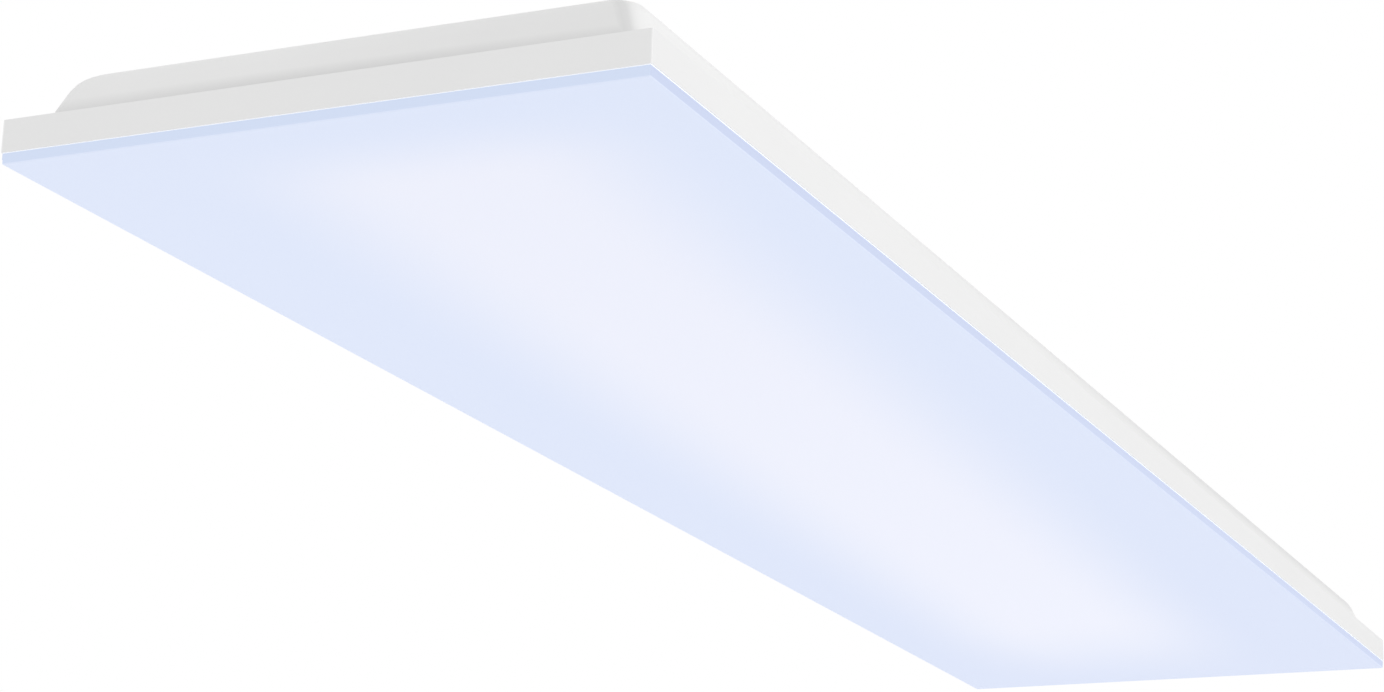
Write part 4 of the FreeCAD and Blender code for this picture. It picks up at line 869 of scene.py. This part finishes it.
(low_x, high_x), (low_y, high_y) = CHOKE_X, CHOKE_Y
spool = bmesh.new()
for y in (low_y, high_y - FLANGE):
    standing_block(spool, (low_x, y), (high_x, y + FLANGE), CHOKE_TOP)
standing_block(spool, (low_x + SPOOL_IN, low_y + FLANGE / 2),
               (high_x - SPOOL_IN, high_y - FLANGE / 2), CHOKE_TOP - SPOOL_IN,
               edge=0.0005, start=SPOOL_IN)
finish_piece("choke_bobbin", spool, [phenolic], "panel")
turns = bmesh.new()
half_span = (high_x - low_x) / 2 - SPOOL_IN
half_rise = CHOKE_TOP / 2 - SPOOL_IN
middle_x = (low_x + high_x) / 2
middle_z = board_level + CHOKE_TOP / 2
for turn in range(TURNS):
    y = low_y + FLANGE + WIRE_PITCH * (turn + FIRST_TURN)
    rings = []
    for step in range(TURN_STEPS):
        angle = 2 * math.pi * step / TURN_STEPS
        cosine, sine = math.cos(angle), math.sin(angle)
        reach = (abs(cosine) ** SQUARENESS + abs(sine) ** SQUARENESS) ** (-1 / SQUARENESS)
        ring = []
        for side in range(WIRE_SIDES):
            around = 2 * math.pi * side / WIRE_SIDES
            out = WIRE_RADIUS * (WIRE_LAY + math.cos(around))
            ring.append(turns.verts.new((middle_x + cosine * reach * (half_span + out),
                                         y + WIRE_RADIUS * math.sin(around),
                                         middle_z + sine * reach * (half_rise + out))))
        rings.append(ring)
    for ring, following in zip(rings, rings[1:] + rings[:1]):
        for side in range(WIRE_SIDES):
            after = (side + 1) % WIRE_SIDES
            turns.faces.new((ring[side], following[side], following[after], ring[after]))
copper = bare_metal("enamelled_copper", COPPER, COPPER_BRIGHT, roughness=0.26, stretch=(1, 4, 1))
finish_piece("choke_winding", turns, [copper], "panel")


# Can capacitors: deep-drawn aluminium cans with a rolled groove near the foot, in a dark shrunk
# sleeve with a pale stripe down one side. The bare tops are scored with a cross, to vent there.
CANS = ((-0.203, -0.01, 0.0064, 0.00909), (-0.1524, 0.0112, 0.00479, 0.00758),
        (-0.1156, -0.0088, 0.00519, 0.00808))
CAN_SEGMENTS = 36
CAN_RIM = 0.0011
CAN_TOP_DROP = 0.0003
CAN_TOP_UNDER = 0.0008
SLEEVE_FOOT = ((0.9, 0), (0.97, 0.0003), (1, 0.0009), (1, 0.0016), (0.955, 0.002), (1, 0.0024))
SLEEVE_RIM = ((0, -0.0006), (0.0003, -0.0001), (0.0009, 0), (0.0011, -0.0003), (0.0011, -0.0007))
STRIPE_OUT = 0.86
STRIPE_HALF = 0.36
SLEEVE = (0.022, 0.026, 0.045)
SLEEVE_LIGHT = (0.035, 0.04, 0.065)
STRIPE_GREY = (0.45, 0.46, 0.47)
STRIPE_SHADE = (0.38, 0.39, 0.4)


def sleeve_profile(radius, height):
    """The sleeve from the middle of its foot, over the groove and round the rim into the top."""
    foot = [(radius * share, rise) for share, rise in SLEEVE_FOOT]
    rim = [(radius - inward, height + rise) for inward, rise in SLEEVE_RIM]
    return [(0, 0), *foot, *rim, (0, rim[-1][1])]


sleeves = bmesh.new()
tops = bmesh.new()
for x, y, radius, height in CANS:
    built = len(sleeves.faces)
    turned(sleeves, x, y, board_level, sleeve_profile(radius, height), CAN_SEGMENTS)
    for face in list(sleeves.faces)[built:]:
        middle = face.calc_center_median()
        if middle.x - x > radius * STRIPE_OUT and abs(middle.y - y) < radius * STRIPE_HALF:
            face.material_index = 1
    inner = radius - CAN_RIM
    top_profile = ((0, -CAN_TOP_UNDER), (inner, -CAN_TOP_UNDER), (inner, -CAN_TOP_DROP))
    rim = turned(tops, x, y, board_level + height, top_profile, CAN_SEGMENTS)[-1]
    sink_cross(tops, x, y, board_level + height - CAN_TOP_DROP, rim, half=0.00018, reach=radius / 2,
               taper=0.9, depth=0.0002)
sleeve = moulded_plastic("can_sleeve", SLEEVE, SLEEVE_LIGHT, roughness=0.3, spot=0.0008)
stripe = moulded_plastic("sleeve_stripe", STRIPE_GREY, STRIPE_SHADE, roughness=0.3, spot=0.0008)
can_top = bare_metal("can_aluminium", ALUMINIUM, ALUMINIUM_BRIGHT, roughness=0.3, stretch=(4, 1, 1))
finish_piece("can_sleeves", sleeves, [sleeve, stripe], "panel")
finish_piece("can_tops", tops, [can_top], "panel")


# Chip parts: small resistors and capacitors of ceramic under black lacquer, soldered flat on the
# driver's board by their tinned ends.
CHIPS = ((-0.271, 0.012), (-0.271, 0.006), (-0.271, -0.006), (-0.271, -0.012), (-0.262, 0.009),
         (-0.262, -0.009), (-0.2, 0.004), (-0.2, 0.009), (-0.178, 0.009), (-0.178, 0.014),
         (-0.168, 0.0115), (-0.15, -0.012), (-0.143, -0.006), (-0.1, 0.008), (-0.1, 0.013),
         (-0.092, -0.004), (-0.092, -0.012), (-0.086, 0.0105))
CHIP_HALF = (0.0016, 0.0008)
CHIP_TOP = 0.0006
CHIP_END_OUT = 0.0014
CHIP_END_HALF = (0.00024, 0.00085)
CHIP_END_TOP = 0.00065
CHIP_EDGE = 0.00008


def chip_block(edit, x, y, half, top):
    """A small block on the driver's board, from its middle and half its length and width."""
    standing_block(edit, (x - half[0], y - half[1]), (x + half[0], y + half[1]), top, CHIP_EDGE)


chips = bmesh.new()
chip_ends = bmesh.new()
for x, y in CHIPS:
    chip_block(chips, x, y, CHIP_HALF, CHIP_TOP)
    for side in (-1, 1):
        chip_block(chip_ends, x + side * CHIP_END_OUT, y, CHIP_END_HALF, CHIP_END_TOP)
finish_piece("chip_parts", chips, [phenolic], "panel")
finish_piece("chip_ends", chip_ends, [tinned_bar], "panel")


# Terminal block: pale grey polyamide with three dark grey levers that open its clamps. Ribs across
# each lever's tip give the finger a hold. A tinned contact bar and a spring leaf line each entry.
BLOCK_GREY = (0.62, 0.62, 0.6)
BLOCK_SHADE = (0.57, 0.57, 0.55)
LEVER_GREY = (0.075, 0.08, 0.088)
LEVER_SHADE = (0.055, 0.06, 0.066)
POLES = (-0.008, 0, 0.008)
RIB_PLACES = (0.0705, 0.0721, 0.0737, 0.0753)
RIB_RADIUS = 0.0003
RIB_HALF = 0.0026
RIB_STEPS = 8
ENTRY_START = 0.0642
ENTRY_RISE = 0.0045
ENTRY_HALF = 0.0026
STRIP = 0.00025
BAR_END = 0.0738
BAR_HALF = 0.0024
LEAF_END = 0.0722
LEAF_HALF = 0.002

dress(["terminal_block"], moulded_plastic("block_grey", BLOCK_GREY, BLOCK_SHADE))
lever_grey = moulded_plastic("lever_grey", LEVER_GREY, LEVER_SHADE, roughness=0.36)
for number, pole in enumerate(POLES, start=1):
    dress([f"terminal_lever_{number}"], lever_grey)
    lever_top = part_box(f"terminal_lever_{number}")[1].z
    ribs = bmesh.new()
    for x in RIB_PLACES:
        arch = []
        for step in range(RIB_STEPS + 1):
            angle = math.pi * step / RIB_STEPS
            arch.append((x + RIB_RADIUS * math.cos(angle),
                         lever_top + RIB_RADIUS * math.sin(angle)))
        left, right = ([ribs.verts.new((along, pole + side, up)) for along, up in arch]
                       for side in (-RIB_HALF, RIB_HALF))
        for step in range(RIB_STEPS):
            ribs.faces.new((left[step], left[step + 1], right[step + 1], right[step]))
        ribs.faces.new((left[0], left[-1], right[-1], right[0]))
        ribs.faces.new(left)
        ribs.faces.new(right)
    finish_piece(f"lever_ribs_{number}", ribs, [lever_grey], f"lever_{number}")

liners = bmesh.new()
entry_floor = plate_top + ENTRY_RISE - ENTRY_HALF
entry_roof = plate_top + ENTRY_RISE + ENTRY_HALF - STRIP
for pole in POLES:
    for end, half, level in ((BAR_END, BAR_HALF, entry_floor), (LEAF_END, LEAF_HALF, entry_roof)):
        bevelled_block(liners, (ENTRY_START, pole - half, level), (end, pole + half, level + STRIP),
                       edge=STRIP / 4)
finish_piece("entry_liners", liners, [tinned_bar], "panel")


# Earth screw: a brass stud pressed into the gear plate, with a chamfered brass nut that clamps the
# tinned ring lug of the earth wire.
STUD_RADIUS = 0.002
STUD_CORE = 0.00175
STUD_ROOT = 0.00172
STUD_CHAMFER = 0.0004
STUD_PITCH = 0.0007
LUG_STRIP = 0.0008
NUT_HEIGHT = 0.0032
NUT_CORNER = 0.0038
NUT_HOLE = 0.00165
NUT_STEPS = 8
NUT_FACE_SHARE = 0.95
BRASS = (0.62, 0.43, 0.15)
BRASS_BRIGHT = (0.74, 0.55, 0.24)


def chamfered_nut(edit, x, y, low, high, corner, hole):
    """A six-sided nut whose corners are turned off at both ends."""
    face_radius = corner * math.cos(math.pi / 6) * NUT_FACE_SHARE
    corners = []
    for side in range(7):
        angle = math.pi * side / 3
        corners.append(Vector((math.cos(angle), math.sin(angle))) * corner)
    outline = [start.lerp(end, step / NUT_STEPS) for start, end in zip(corners, corners[1:])
               for step in range(NUT_STEPS)]
    rings = []
    for level, inward, drop in ((low, hole, 0), (low, face_radius, 0), (low, None, 1),
                                (high, None, -1), (high, face_radius, 0), (high, hole, 0)):
        ring = []
        for point in outline:
            spot = point if inward is None else point.normalized() * inward
            fall = (point.length - face_radius) * math.tan(math.pi / 6) * drop
            ring.append(edit.verts.new((x + spot.x, y + spot.y, level + fall)))
        rings.append(ring)
    for lower, upper in zip(rings, rings[1:] + rings[:1]):
        for step in range(len(outline)):
            after = (step + 1) % len(outline)
            edit.faces.new((lower[step], lower[after], upper[after], upper[step]))


earth_low, earth_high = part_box("earth_screw")
earth_y = (earth_low.y + earth_high.y) / 2
stud_height = earth_high.z - earth_low.z
nut_seat = plate_top + LUG_STRIP
stud_profile = ((0, 0), (STUD_CORE, 0), (STUD_CORE, stud_height - STUD_CHAMFER),
                (STUD_CORE - STUD_CHAMFER, stud_height), (0, stud_height))
earth = bmesh.new()
turned(earth, 0, earth_y, earth_low.z, stud_profile)
rolled_thread(earth, 0, earth_y, earth_low.z + STUD_CHAMFER, earth_high.z - STUD_CHAMFER,
              STUD_ROOT, STUD_RADIUS, STUD_PITCH, count=20)
chamfered_nut(earth, 0, earth_y, nut_seat, nut_seat + NUT_HEIGHT, NUT_CORNER, NUT_HOLE)
brass = bare_metal("brass", BRASS, BRASS_BRIGHT, roughness=0.3)
earth_piece = finish_piece("earth_stud_and_nut", earth, [brass], "panel")
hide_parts("earth_screw")
dress(["earth_lug"], tinned_bar)


# Wires: stranded copper in smooth plastic insulation, brown for live, blue for neutral and green
# and yellow for earth. Red and black leads go to the boards. A nylon comb holds the mains pair.
BROWN = (0.1, 0.035, 0.015)
BLUE = (0.02, 0.09, 0.42)
GREEN = (0.03, 0.27, 0.05)
YELLOW = (0.76, 0.62, 0.03)
RED = (0.5, 0.015, 0.012)
BLACK = (0.014, 0.014, 0.015)
DEEPER = 0.82
STRIPE_PITCH = 0.0034
STRIPE_SLANT = (0.55, 1.6)
STRIPE_EDGE = (-0.05, 0.05)
COMB_NYLON = (0.76, 0.75, 0.68)
COMB_SHADE = (0.71, 0.7, 0.63)


def insulation(name, colour, second=None):
    """Glossy extruded insulation, plain or with a second colour in long stripes."""
    made, tree, shader = start_finish(name, roughness=0.34)
    deep = tuple(part * DEEPER for part in colour)
    tone = shade_between(tree, speckle(tree, spot=0.006, detail=3, stretch=(4, 1, 1)), deep, colour)
    if second:
        along, across, up = place_along(tree)
        slant = work_out(tree, "ADD", work_out(tree, "MULTIPLY", along, STRIPE_SLANT[0]),
                         work_out(tree, "MULTIPLY", up, STRIPE_SLANT[1]))
        wave = work_out(tree, "SINE", work_out(tree, "MULTIPLY", slant, 2 * math.pi / STRIPE_PITCH))
        tone = blend_colours(tree, number_between(tree, wave, 0, 1, *STRIPE_EDGE), tone, second)
    tree.links.new(tone, shader.inputs["Base Color"])
    raise_relief(tree, shader, speckle(tree, spot=0.0011, stretch=(6, 1, 1)), depth=0.000015)
    return made


dress(["wire_live"], insulation("brown_insulation", BROWN))
dress(["wire_neutral"], insulation("blue_insulation", BLUE))
dress(["wire_earth"], insulation("earth_insulation", GREEN, YELLOW))
dress(["lead_row_1_plus", "lead_row_2_plus"], insulation("red_insulation", RED))
dress(["lead_row_1_minus", "lead_row_2_minus"], insulation("black_insulation", BLACK))
dress(["wire_holder"], moulded_plastic("natural_nylon", COMB_NYLON, COMB_SHADE, roughness=0.4))


# Diffuser: one opal acrylic moulding, lit from behind, its lip proud of the frame all round.
# The glow is a pale lavender white along the middle and turns to light blue at the margins, and
# the lip is a deeper blue. Light leaves the acrylic's upper edge, so a bright hairline shows there.
OPAL = (0.42, 0.44, 0.47)
OPAL_LIP = (0.2, 0.22, 0.26)
OPAL_ROUGHNESS = (0.46, 0.56)
OPAL_SPECULAR = 0.22
GLOW_MIDDLE = (0.462, 0.468, 0.545)
GLOW_MARGIN = (0.356, 0.402, 0.532)
GLOW_MARGIN_FAR = (0.327, 0.371, 0.508)
GLOW_END_LIP = (0.452, 0.515, 0.655)
GLOW_SIDE_LIP = (0.395, 0.441, 0.597)
GLOW_END_NECK = (0.92, 0.925, 0.93)
GLOW_SIDE_NECK = (1.26, 1.28, 1.32)
NEAR_FADE = (0.01, 0.085)
FAR_FADE = (-0.025, 0.215)
SIDE_FADE = (0.03, 0.125)
MARGIN_ALONG = (-0.45, 0.55)
GLOW_LEAN = 0.045
LIP_HEIGHT = 0.0049
LIP_EDGE = (0.0002, 0.0006)
REVEAL_EDGE = (-0.00012, -0.00004)
light_bottom = cad_box[0].z
lip_top = light_bottom + LIP_HEIGHT


def fade_in(tree, place, half, turn, start, end):
    """A share that rises smoothly from start to end, measured in from one edge of the light."""
    rise = tree.nodes.new("ShaderNodeMapRange")
    rise.interpolation_type = "SMOOTHSTEP"
    rise.inputs["From Min"].default_value = start
    rise.inputs["From Max"].default_value = end
    tree.links.new(work_out(tree, "SUBTRACT", half, work_out(tree, "MULTIPLY", place, turn)),
                   rise.inputs["Value"])
    return rise.outputs["Result"]


def opal_acrylic():
    """Satin opal acrylic with the glow of its face, of its lip and of its neck in the reveal."""
    made, tree, shader = start_finish("opal_acrylic", roughness=0.5)
    shader.inputs["Specular IOR Level"].default_value = OPAL_SPECULAR
    along, across, up = place_along(tree)
    leaning = work_out(tree, "SUBTRACT", across, work_out(tree, "MULTIPLY", along, GLOW_LEAN))
    glow = where_all(tree, fade_in(tree, along, half_length, -1, *NEAR_FADE),
                     fade_in(tree, along, half_length, 1, *FAR_FADE),
                     fade_in(tree, leaning, half_width, -1, *SIDE_FADE),
                     fade_in(tree, leaning, half_width, 1, *SIDE_FADE))
    margin = blend_colours(tree, number_between(tree, along, 0, 1, *MARGIN_ALONG),
                           GLOW_MARGIN, GLOW_MARGIN_FAR)
    face = blend_colours(tree, glow, margin, GLOW_MIDDLE)
    from_end, from_side = in_from_outline(tree, along, across)
    on_side = work_out(tree, "GREATER_THAN", from_end, from_side)
    lip = blend_colours(tree, on_side, GLOW_END_LIP, GLOW_SIDE_LIP)
    on_lip = number_between(tree, up, 0, 1, *(light_bottom + rise for rise in LIP_EDGE))
    neck = blend_colours(tree, on_side, GLOW_END_NECK, GLOW_SIDE_NECK)
    in_reveal = number_between(tree, up, 0, 1, *(lip_top + rise for rise in REVEAL_EDGE))
    tone = blend_colours(tree, in_reveal, blend_colours(tree, on_lip, face, lip), neck)
    tree.links.new(tone, shader.inputs["Emission Color"])
    shader.inputs["Emission Strength"].default_value = 1
    tree.links.new(blend_colours(tree, on_lip, OPAL, OPAL_LIP), shader.inputs["Base Color"])
    satin = speckle(tree, spot=0.0009)
    tree.links.new(number_between(tree, satin, *OPAL_ROUGHNESS), shader.inputs["Roughness"])
    raise_relief(tree, shader, satin, depth=0.000006)
    return made


dress(["diffuser"], opal_acrylic())
